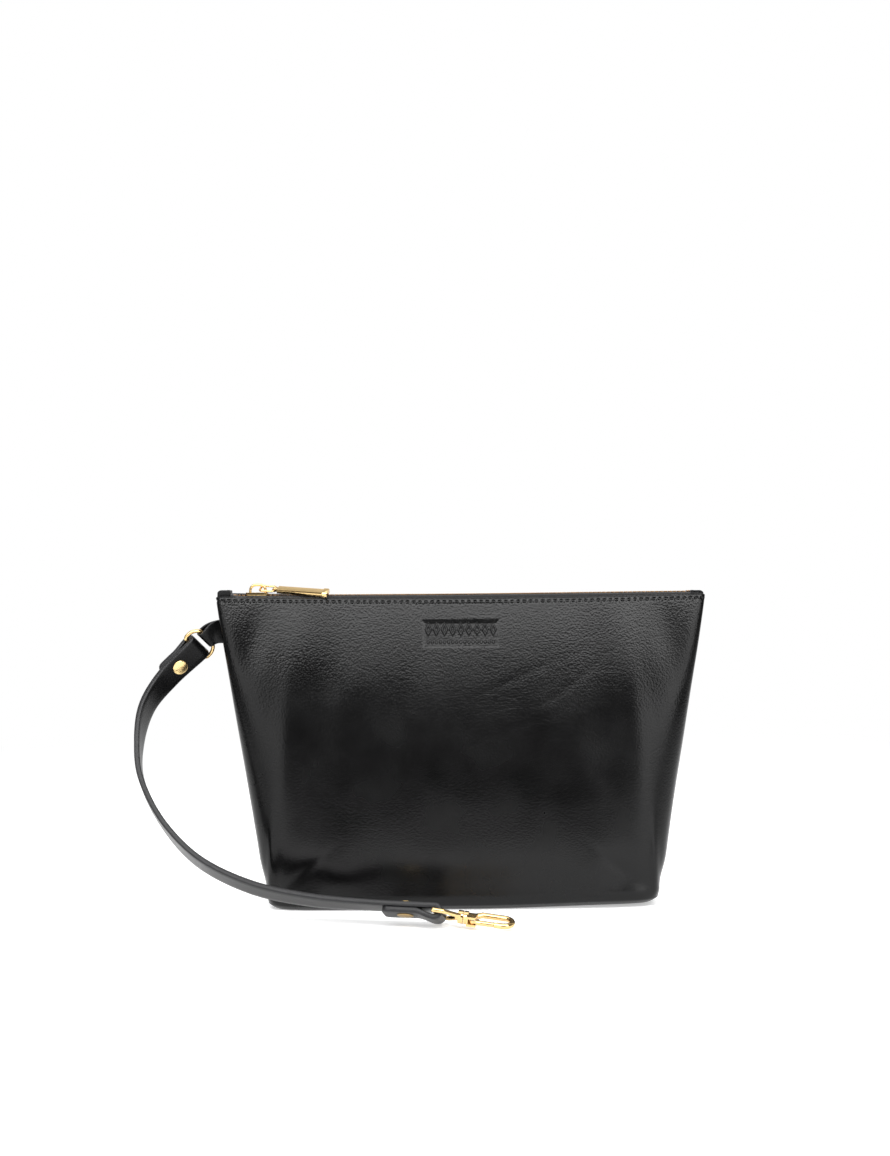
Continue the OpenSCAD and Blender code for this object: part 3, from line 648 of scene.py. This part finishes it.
def wall_y(x, z, front):
    """How far the leather stands out from the bag's middle plane at one point."""
    n = squareness(z)
    y = half_d(z) * (1 - (abs(x) / half_w(z)) ** n) ** (1 / n)
    d = float(relief(np.array([x]), np.array([z]), front)[0])
    return y + d


# ---------------------------------------------------------------- stitching

def stitch_run(a, b, out, r=0.35):
    """One stitch from a to b, its ends diving into the leather."""
    a, b, out = np.asarray(a, float), np.asarray(b, float), np.asarray(out, float)
    pts, rad = [], []
    for t in np.arange(11) / 10:
        lift = 0.30 * math.sin(math.pi * t) ** 0.6 - 0.12
        pts.append(a + (b - a) * t + out * lift)
        rad.append(r * (0.55 + 0.45 * math.sin(math.pi * t) ** 0.5))
    return tube(pts, rad, sides=10)


def top_stitches(front, name, cad):
    """The row of stitches under the mouth's edge."""
    parts = []
    sgn = -1 if front else 1
    rise_share = smooth_at((STITCH_Z - 110) / 65)
    x = -STITCH_END_X
    while x <= STITCH_END_X - 2.6:
        z = STITCH_Z + float(edge_rise(np.array([x]), front)[0]) * rise_share
        a, b = ((u, sgn * wall_y(u, STITCH_Z, front), z) for u in (x + 0.3, x + 2.3))
        parts.append(stitch_run(a, b, (0, sgn, 0.2)))
        x += STITCH_PITCH
    V, F = joined(parts)
    stands_for(make(name, V, F, THREAD, "bag"), cad)


top_stitches(True, "stitches_front", "top_stitching_front")
top_stitches(False, "stitches_back", "top_stitching_back")

# ---------------------------------------------------------------- zipper

TOOTH_PITCH, CHAIN_END_X, TAPE_END_X = 2.54, 129.0, 131.4
# how far the wall leans out for each millimetre down from the mouth
LEAN = (half_d(BAG_H - 9) - half_d(BAG_H)) / 9


def sag(x):
    """The chain hangs a little in the middle, and runs up into the tab at the slider's end."""
    u = np.clip(1 - (np.abs(x) / 128) ** 2, 0, 1)
    return 0.4 * u * u - 1.5 * smooth((-127 - x) / 5)


def sag_at(x):
    """sag() at one place."""
    return float(sag(np.array([x]))[0])


def rounded_block(w, l, h, r, seg=3):
    """A block with rounded edges, as verts and faces about its centre."""
    bm = bmesh.new()
    bmesh.ops.create_cube(bm, size=1.0)
    for v in bm.verts:
        v.co = Vector((v.co.x * w, v.co.y * l, v.co.z * h))
    bmesh.ops.bevel(bm, geom=bm.edges[:], offset=r, segments=seg, profile=0.5, affect="EDGES",
                    clamp_overlap=True)
    bm.verts.ensure_lookup_table()
    V = [tuple(v.co) for v in bm.verts]
    F = [tuple(v.index for v in f.verts) for f in bm.faces]
    bm.free()
    return V, F


def tape(front, name, cad):
    """A zipper tape: level beside the chain, then folded down along the leather."""
    sgn = -1 if front else 1
    half_t = 0.3
    mid = [(1.75, CHAIN_Z), (2.6, CHAIN_Z), (3.6, CHAIN_Z), (4.6, CHAIN_Z), (5.2, CHAIN_Z - 0.05),
           (5.58, CHAIN_Z - 0.3), (5.77, CHAIN_Z - 0.7), (5.8, CHAIN_Z - 1.2), (5.8 + LEAN, BAG_H - 1.5),
           (5.8 + LEAN * 4, BAG_H - 4), (5.8 + LEAN * 9, BAG_H - 9)]
    P = np.array(mid)
    T = np.gradient(P, axis=0)
    T /= np.linalg.norm(T, axis=1)[:, None]
    N = np.column_stack([-T[:, 1], T[:, 0]])
    ring = [tuple(p + n * half_t) for p, n in zip(P, N)]
    ring += [tuple(p - n * half_t) for p, n in zip(P[::-1], N[::-1])]
    n = len(ring)
    xs = np.linspace(-TAPE_END_X, TAPE_END_X, 133)
    V, F = [], []
    for x in xs:
        drop = sag_at(x)
        V += [(x, sgn * y, z - drop * smooth_at((z - 166) / 10)) for y, z in ring]
    for i in range(len(xs) - 1):
        for j in range(n):
            k = (j + 1) % n
            F.append((i * n + j, i * n + k, (i + 1) * n + k, (i + 1) * n + j))
    F.append(tuple(range(n)))
    F.append(tuple((len(xs) - 1) * n + j for j in range(n)))
    # the folded ends of the tape fill the end tabs
    V, F = joined([(V, F)] + [moved(rounded_block(6.2, 4.4, 2.0, 0.3), (side * 135.0, sgn * 2.25, CHAIN_Z))
                              for side in (-1, 1)])
    obj = make(name, V, F, TAPE, "bag")
    sharp_by_angle(obj, 50)
    return stands_for(obj, cad)


tape(True, "tape_woven_front", "zipper_tape_front")
tape(False, "tape_woven_back", "zipper_tape_back")


def tooth():
    """One tooth: a rounded head with a nib and a socket, and a clamp round the tape's cord."""
    head = moved(rounded_block(1.1, 1.9, 2.2, 0.26), (0, -0.4, 0))
    nib = moved(rounded_block(1.3, 0.5, 1.1, 0.2, 2), (0, 0.2, 0))
    legs = [moved(rounded_block(1.4, 1.9, 0.78, 0.22), (0, -1.75, side * 0.66)) for side in (-1, 1)]
    return joined([head, nib] + legs)


def teeth(front, name, cad):
    """A row of teeth, parted on the left of the slider and closed on its right."""
    V0, F0 = tooth()
    V0 = np.array(V0)
    parts = []
    x = -CHAIN_END_X + 2.5 + (0 if front else TOOTH_PITCH / 2)
    while x <= CHAIN_END_X:
        v = V0.copy()
        v[:, 1] -= 1.5 * smooth_at((SLIDER_X + 1 - x) / 5.5)
        if not front:
            v[:, 1] *= -1
        v += [x, 0, CHAIN_Z - sag_at(x)]
        parts.append((v, F0))
        x += TOOTH_PITCH
    V, F = joined(parts)
    stands_for(make(name, V, F, BRASS, "bag"), cad)


teeth(True, "teeth_row_front", "zipper_teeth_front")
teeth(False, "teeth_row_back", "zipper_teeth_back")
bevelled_copy("zipper_top_stops", "top_stops_rounded", BRASS, 0.3)
bevelled_copy("zipper_bottom_stop", "bottom_stop_rounded", BRASS, 0.2)


def ribbon(slices, thick):
    """A swept strip with rounded edges, and a material index for each face: 0 broad face, 1 edge.

    slices: [point, width direction, normal, half width].
    """
    h = thick / 2
    r = thick * 0.28
    # four corner arcs of four points: signs of the corner, then the arc's cosine and sine
    corners = []
    for across, up, start in ((1, 1, 0), (-1, 1, 90), (-1, -1, 180), (1, -1, 270)):
        for k in range(4):
            a = math.radians(start + 30 * k)
            corners.append((across, up, math.cos(a), math.sin(a)))
    V, n = [], 0
    for p, w, u, half in slices:
        arcs = [(across * (half - r) + r * c, up * (h - r) + r * s) for across, up, c, s in corners]
        ring = []
        for i, q in enumerate(arcs):
            ring.append(q)
            # extra points across the broad faces keep them smooth
            if i in (3, 11):
                after = arcs[i + 1]
                ring += [(mix(q[0], after[0], k), mix(q[1], after[1], k)) for k in (0.2, 0.4, 0.6, 0.8)]
        n = len(ring)
        V += [np.asarray(p) + cx * np.asarray(w) + cz * np.asarray(u) for cx, cz in ring]
    # broad faces run between the corner arcs; the rest is the painted edge
    broad = set(range(3, 8)) | set(range(15, 20))
    F, kinds = [], []
    for i in range(len(slices) - 1):
        for j in range(n):
            k = (j + 1) % n
            F.append((i * n + j, i * n + k, (i + 1) * n + k, (i + 1) * n + j))
            kinds.append(0 if j in broad else 1)
    for i in (0, len(slices) - 1):
        F.append(tuple(i * n + j for j in range(n)))
        kinds.append(1)
    return V, F, kinds


def leather_strip(name, slices, thick, body, cad):
    """A leather strip with painted edges."""
    V, F, kinds = ribbon(slices, thick)
    obj = make(name, V, F, [STRAP_LEATHER, EDGE_PAINT], body, kinds)
    sharp_by_angle(obj, 55)
    stands_for(obj, cad)


TAB_INNER_X, TAB_REACH, TAB_STITCH_X, TAB_STITCH_R = 131.8, 1.45, 133.2, 0.28
parts = []
for side, cad, top in ((-1, "end_tab_left", BAG_H + 4.6), (1, "end_tab_right", BAG_H + 2.1)):
    folded = bevelled_copy(cad, cad + "_folded", TAB_LEATHER, 0.35, 4)
    for v in folded.data.vertices:
        # the fold reaches out to the side seam
        v.co.x = side * (TAB_INNER_X + (abs(v.co.x) / MM - TAB_INNER_X) * TAB_REACH) * MM
    x, z = side * TAB_STITCH_X, top - TAB_STITCH_R
    for y in (-3.9, -1.3, 1.3, 3.9):
        parts.append(stitch_run((x, y - 0.9, z), (x, y + 0.9, z), (0, 0, 1), TAB_STITCH_R))
V, F = joined(parts)
stands_for(make("stitches_end_tabs", V, F, THREAD, "bag"), "end_tab_stitching")

# ---------------------------------------------------------------- slider and pull

bevelled_copy("slider_body", "slider_polished", GOLD, 0.28)

slider_at = np.array([SLIDER_X, 0, CHAIN_Z])
along_x, along_z = np.array([1.0, 0, 0]), np.array([0, 0, 1.0])
BAIL_HALF, BAIL_BEND, BAIL_FOOT, BAIL_R = 4.4, 3.2, 1.9, 0.75
bail = [slider_at + [-BAIL_HALF, 0, BAIL_FOOT], slider_at + [-BAIL_HALF, 0, 2.6]]
for side, start in ((-1, 180), (1, 90)):
    bail += arc(slider_at + [side * (BAIL_HALF - BAIL_BEND), 0, 3.5], along_x, along_z, BAIL_BEND,
                start, -90, 12)
bail += [slider_at + [BAIL_HALF, 0, 2.6], slider_at + [BAIL_HALF, 0, BAIL_FOOT]]
V, F = tube(bail, BAIL_R, sides=24)
stands_for(make("bail_wire", V, F, GOLD, "slider"), "slider_bail")

link_at = slider_at + [1.7, 0, 4.8]
bar_end = np.array([link_at[0] + 39.1, -8.5, BAG_H + 2.5])
pull_dir = unit(bar_end - link_at)
roll = math.radians(30)
roll_dir = np.array([0, math.cos(roll), math.sin(roll)])
pull_axis = unit(roll_dir - (roll_dir @ pull_dir) * pull_dir)
LINK_L, LINK_HALF, LINK_R, LINK_BEND = 8.5, 2.9, 0.6, 1.4
near, far, half = LINK_BEND, LINK_L - LINK_BEND, LINK_HALF - LINK_BEND
loop = []
for cx, cy, start in ((far, half, 0), (near, half, 90), (near, -half, 180), (far, -half, 270)):
    loop += arc(link_at + cx * pull_dir + cy * pull_axis, pull_dir, pull_axis, LINK_BEND, start, 90, 10)
V, F = tube(loop, LINK_R, closed=True)
stands_for(make("link_wire", V, F, GOLD, "pull_link"), "pull_link")
bevelled_copy("pull_bar", "pull_bar_polished", GOLD, 0.22)

# ---------------------------------------------------------------- strap

# the middle line of the strap's upper leather, from the ring to the clasp, and its turn in degrees
ROUTE = [(-151.3, -4, 145.4), (-167.5, -6, 130), (-178, -13, 114), (-181, -21, 95), (-178, -30, 75),
         (-165, -38, 52), (-144, -46, 32), (-115, -53, 19), (-83, -59, 13), (-49, -65, 11), (-14, -71, 10.4)]
TWIST = [56, 46, 22, 0, -13, -19, -28, -32, -31, -26, -23]


def along(values, u):
    """A smooth curve through the values; it goes on straight past its ends."""
    k = len(values) - 1
    i = max(0, min(int(math.floor(u)), k - 1))
    t = u - i
    v = [np.asarray(q, float) for q in values]
    b, c = v[i], v[i + 1]
    a = v[i - 1] if i > 0 else 2 * b - c
    d = v[i + 2] if i < k - 1 else 2 * c - b
    return 0.5 * (2 * b + (c - a) * t + (2 * a - 5 * b + 4 * c - d) * t * t + (3 * b - a - 3 * c + d) * t ** 3)


def strap_frame(u):
    """The strap's point, direction, width direction and normal."""
    p = along(ROUTE, u)
    d = unit(along(ROUTE, u + 0.01) - along(ROUTE, u - 0.01))
    level = unit(np.array([0, 1.0, 0]) - d[1] * d)
    turn = math.radians(float(along(TWIST, u)))
    wide = math.cos(turn) * level + math.sin(turn) * np.cross(d, level)
    return p, d, wide, np.cross(d, wide)


RING_WIRE, EYE_BAR = 2.2, 1.3
END = len(ROUTE) - 1
ring_frame, eye_frame = strap_frame(0), strap_frame(END)
STEP_RING = float(np.linalg.norm(np.subtract(ROUTE[1], ROUTE[0])))
STEP_EYE = float(np.linalg.norm(np.subtract(ROUTE[-1], ROUTE[-2])))
RING_FOLD = RING_WIRE / 2 + 0.25 + STRAP_T / 2
EYE_FOLD = EYE_BAR + 0.15 + STRAP_T / 2
TAIL_L, CLOSE_L = 22.0, 11.0


def tail_slice(u, s, fold):
    """The folded tail, s from its fold, which closes up against the strap."""
    p, _, w, n = strap_frame(u)
    drop = mix(2 * fold, STRAP_T + 0.1, smooth_at(s / CLOSE_L))
    return (p - drop * n, w, -n, STRAP_W / 2)


def fold_slice(end_frame, fold, out, a):
    """The fold round the ring or the eye, at an angle from the strap's side."""
    p, _, w, n = end_frame
    u = math.cos(math.radians(a)) * n + math.sin(math.radians(a)) * out
    return (p - fold * n + fold * u, w, u, STRAP_W / 2)


slices = [tail_slice(s / STEP_RING, s, RING_FOLD) for s in np.arange(TAIL_L, 0.5, -1.0)]
slices += [fold_slice(ring_frame, RING_FOLD, -ring_frame[1], 180 - 180 * k / 20) for k in range(21)]
N_RUN = 200
for k in range(1, N_RUN):
    p, _, w, n = strap_frame(k * END / N_RUN)
    slices.append((p, w, n, STRAP_W / 2))
slices += [fold_slice(eye_frame, EYE_FOLD, eye_frame[1], 180 * k / 20) for k in range(21)]
slices += [tail_slice(END - s / STEP_EYE, s, EYE_FOLD) for s in np.arange(1.0, TAIL_L + 6.1, 1.0)]
# the cut ends are rounded at their corners
for from_end, cut in enumerate((1.9, 0.65, 0.15)):
    for i in (from_end, -1 - from_end):
        p, w, u, half = slices[i]
        slices[i] = (p, w, u, half - cut)
leather_strip("strap_leather_strip", slices, STRAP_T, "strap", "strap")

# ---------------------------------------------------------------- rivets

RIVET_D, CAP_H, RIM_H, BACK_FLATNESS = 8.8, 1.5, 0.8, 0.62
ring_rivet = strap_frame(13.0 / STEP_RING)
eye_rivet = strap_frame(END - 16.5 / STEP_EYE)
# from the middle of the upper leather to the outside of the tail under it
STACK = STRAP_T + 0.1 + STRAP_T / 2


def cap_profile():
    """A flat-crowned cap with a short rim."""
    r = RIVET_D / 2
    crown_r = r - 0.3
    prof = [(0, -0.25), (r - 0.35, -0.25), (r - 0.12, -0.1), (r, 0.15), (r, 0.4), (r - 0.08, 0.62),
            (crown_r, RIM_H)]
    for k in range(1, 15):
        q = 1 - k / 15
        prof.append((crown_r * q, RIM_H + (CAP_H - RIM_H) * (1 - q ** 2.2)))
    return prof + [(0, CAP_H)]


def rivet(at, top, name, cad, mat):
    """A rivet's cap on the upper leather, or its flatter back under the tail."""
    p, d, w, n = at
    V, F = lathe(cap_profile())
    if top:
        V = placed(V, p + STRAP_T / 2 * n, d, w, n)
    else:
        V = placed([(x, y, z * BACK_FLATNESS) for x, y, z in V], p - STACK * n, d, -w, -n)
    stands_for(make(name, V, F, mat, "strap"), cad)


rivet(ring_rivet, True, "rivet_dome_ring_end", "rivet_cap_ring_end", SATIN_GOLD)
rivet(ring_rivet, False, "rivet_back_ring_end", "rivet_post_ring_end", SATIN_GOLD)
rivet(eye_rivet, True, "rivet_dome_clasp_end", "rivet_cap_clasp_end", SATIN_GOLD)
rivet(eye_rivet, False, "rivet_back_clasp_end", "rivet_post_clasp_end", DULL_GOLD)

# ---------------------------------------------------------------- ring and side tab

# the ring is a bar along ring_x with rounded corners, and a bow above it of two shoulders and a crown
RING_CORNER, RING_SHOULDER, RING_CROWN, SIDE_TOP = 2.0, 6.5, 12.0, 3.0
ring_r = RING_WIRE / 2
ring_half = 8.3 + ring_r
ring_up = -ring_frame[1]
ring_x = ring_frame[2]
ring_at = ring_frame[0] - RING_FOLD * ring_frame[3]
bow_x = ring_half - RING_SHOULDER
bow_drop = math.sqrt((RING_CROWN - RING_SHOULDER) ** 2 - bow_x ** 2)
bow_angle = math.degrees(math.atan2(bow_drop, bow_x))
bar_half = ring_half - RING_CORNER


def ring_arc(x, up, radius, start, sweep, steps):
    return arc(ring_at + x * ring_x + up * ring_up, ring_x, ring_up, radius, start, sweep, steps)


pts = [ring_at + t * ring_x for t in np.linspace(-bar_half, bar_half, 14)[:-1]]
pts += ring_arc(bar_half, RING_CORNER, RING_CORNER, -90, 90, 8)
pts += ring_arc(bow_x, SIDE_TOP, RING_SHOULDER, 0, bow_angle, 12)[:-1]
pts += ring_arc(0, SIDE_TOP - bow_drop, RING_CROWN, bow_angle, 180 - 2 * bow_angle, 20)[:-1]
pts += ring_arc(-bow_x, SIDE_TOP, RING_SHOULDER, 180 - bow_angle, bow_angle, 12)
pts += ring_arc(-bar_half, RING_CORNER, RING_CORNER, 180, 90, 8)[:-1]
V, F = tube(pts, ring_r, closed=True, sides=24)
stands_for(make("ring_wire", V, F, GOLD, "ring"), "d_ring")

TAB_T, TAB_W_SEAM, TAB_W_RING, TAB_Z = 1.3, 14.0, 11.0, 156.0
TAB_FOLD = ring_r + 0.7 + 0.15 + TAB_T / 2
ring_top = SIDE_TOP - bow_drop + RING_CROWN
ring_pivot = ring_at + (ring_top - 0.7) * ring_up
seam_down = unit([(TOP_W - BASE_W) / 2, 0, -BAG_H])
tab_start = np.array([-half_w(TAB_Z) + 0.45, 0, TAB_Z])


def tab_slice(t, side):
    """One of the side tab's two layers, from the seam (t = 0) to the ring (t = 1)."""
    bend = ring_pivot + 4.5 * ring_up
    p = mix(mix(tab_start, bend, t), mix(bend, ring_pivot, t), t)
    d = unit(mix(bend - tab_start, ring_pivot - bend, t))
    w0 = mix(seam_down, ring_x, smooth_at(t))
    w = unit(w0 - smooth_at(3 * t) * (w0 @ d) * d)
    n = unit(np.cross(d, w))
    away = mix(TAB_T / 2 + 0.05, TAB_FOLD, smooth_at(t))
    return (p + side * away * n, w, side * n, mix(TAB_W_SEAM, TAB_W_RING, t) / 2)


slices = [tab_slice(k / 24, 1) for k in range(24)]
for k in range(21):
    a = math.radians(180 * k / 20)
    u = math.cos(a) * np.cross(-ring_up, ring_x) - math.sin(a) * ring_up
    slices.append((ring_pivot + TAB_FOLD * u, ring_x, u, TAB_W_RING / 2))
slices += [tab_slice(k / 24, -1) for k in range(23, -1, -1)]
leather_strip("side_tab_leather", slices, TAB_T, "bag", "side_tab")

# ---------------------------------------------------------------- clasp

for cad, made, width in (("clasp_eye", "cast", 0.25), ("clasp_hook", "cast", 0.3), ("clasp_gate", "cast", 0.2),
                         ("swivel_post", "turned", 0.15), ("gate_pin", "turned", 0.12)):
    bevelled_copy(cad, cad + "_" + made, GOLD, width)

# ---------------------------------------------------------------- stage, lights, camera

scene = bpy.context.scene
scene.view_settings.view_transform = "Standard"
scene.view_settings.look = "None"
scene.view_settings.exposure = 0.0

# the studio's brightness from in front of the bag (0) to behind it (1)
RAMP = ((0.0, 0.15), (0.52, 0.28), (0.88, 1.0))


def studio_ramp(tree, vector):
    """Brightness of the studio by direction: dim in front of the bag, white behind it."""
    sep = node(tree, "ShaderNodeSeparateXYZ")
    tree.links.new(vector, sep.inputs[0])
    ramp = node(tree, "ShaderNodeValToRGB")
    ramp.color_ramp.elements.new(0.5)
    for stop, (position, value) in zip(ramp.color_ramp.elements, RAMP):
        stop.position = position
        stop.color = (value, value, value, 1)
    tree.links.new(map_range(tree, sep.outputs["Y"], -1.0, 1.0), ramp.inputs["Fac"])
    return ramp.outputs["Color"]


def floor_material():
    """A pale plain floor that fades into the studio's own brightness with distance."""
    m, nt, bsdf = material("floor")
    L = nt.links.new
    position = node(nt, "ShaderNodeNewGeometry").outputs["Position"]
    noise = node(nt, "ShaderNodeTexNoise", Scale=3.0, Detail=2.0)
    L(position, noise.inputs["Vector"])
    L(colour_ramp(nt, noise.outputs["Fac"], (0.84, 0.84, 0.845), (0.86, 0.86, 0.86)), bsdf.inputs["Base Color"])
    bsdf.inputs["Roughness"].default_value = 0.9
    bsdf.inputs["Specular IOR Level"].default_value = 0.1
    bsdf.inputs["Emission Color"].default_value = (1, 1, 1, 1)
    bsdf.inputs["Emission Strength"].default_value = 0.45
    far = node(nt, "ShaderNodeEmission")
    L(studio_ramp(nt, vector_node(nt, "NORMALIZE", position).outputs["Vector"]), far.inputs["Color"])
    fade = node(nt, "ShaderNodeMapRange", interpolation_type="SMOOTHSTEP", **{"From Min": 0.3, "From Max": 1.1})
    L(vector_node(nt, "LENGTH", position).outputs["Value"], fade.inputs["Value"])
    mixer = node(nt, "ShaderNodeMixShader")
    for source, socket in zip((fade.outputs["Result"], bsdf.outputs[0], far.outputs[0]), mixer.inputs):
        L(source, socket)
    L(mixer.outputs[0], nt.nodes["Material Output"].inputs["Surface"])
    return m


FLOOR_Z = -0.02
V, F = lathe([(0, FLOOR_Z), (900, FLOOR_Z), (2500, FLOOR_Z), (20000, FLOOR_Z)], 96)
floor_mesh = bpy.data.meshes.new("floor")
floor_mesh.from_pydata([tuple(c * MM for c in v) for v in V], [], F)
floor_mesh.materials.append(floor_material())
floor = bpy.data.objects.new("floor", floor_mesh)
scene.collection.objects.link(floor)

world = bpy.data.worlds.new("studio")
scene.world = world
world.use_nodes = True
sky = world.node_tree
background = sky.nodes["Background"]
facing = node(sky, "ShaderNodeTexCoord").outputs["Generated"]
sky.links.new(studio_ramp(sky, facing), background.inputs["Color"])
background.inputs["Strength"].default_value = 1.0


def area(name, pos, target, size, power):
    """A white rectangular light aimed at a target."""
    data = bpy.data.lights.new(name, "AREA")
    data.shape = "RECTANGLE"
    data.size, data.size_y = size
    data.energy = power
    obj = bpy.data.objects.new(name, data)
    scene.collection.objects.link(obj)
    obj.location = pos
    obj.rotation_euler = (Vector(target) - Vector(pos)).to_track_quat("-Z", "Y").to_euler()


area("key_top", (0.0, -0.75, 0.78), (0, 0, 0.14), (1.5, 0.45), 16.0)
area("overhead", (0.0, 0.0, 1.3), (0, 0, 0.1), (1.2, 1.0), 6)
area("left_strip", (-0.74, -0.95, 0.35), (0, 0, 0.1), (0.5, 0.8), 2.6)
area("right_strip", (0.74, -0.95, 0.35), (0, 0, 0.1), (0.5, 0.8), 3.8)
area("back_fill", (0, 1.3, 1.0), (0, 0, 0.1), (1.4, 0.6), 4)

# the camera stands level in front of the bag, a little rolled; its shift frames the bag low and central
SENSOR_H, FOCAL, SHIFT_X, SHIFT_Y = 36.0, 46.0277, -0.013408, 0.023097
CAMERA_AT, CAMERA_ROLL = (0, -0.85, 0.17), -0.55
cam_data = bpy.data.cameras.new("camera")
cam = bpy.data.objects.new("camera", cam_data)
scene.collection.objects.link(cam)
cam_data.sensor_fit = "VERTICAL"
cam_data.sensor_height = SENSOR_H
cam_data.lens = FOCAL
cam_data.shift_x = SHIFT_X
cam_data.shift_y = SHIFT_Y
cam_data.clip_start = 0.01
cam_data.clip_end = 50
cam.matrix_world = (Matrix.Translation(CAMERA_AT) @ Matrix.Rotation(math.radians(90), 4, "X")
                    @ Matrix.Rotation(math.radians(CAMERA_ROLL), 4, "Z"))
scene.camera = cam
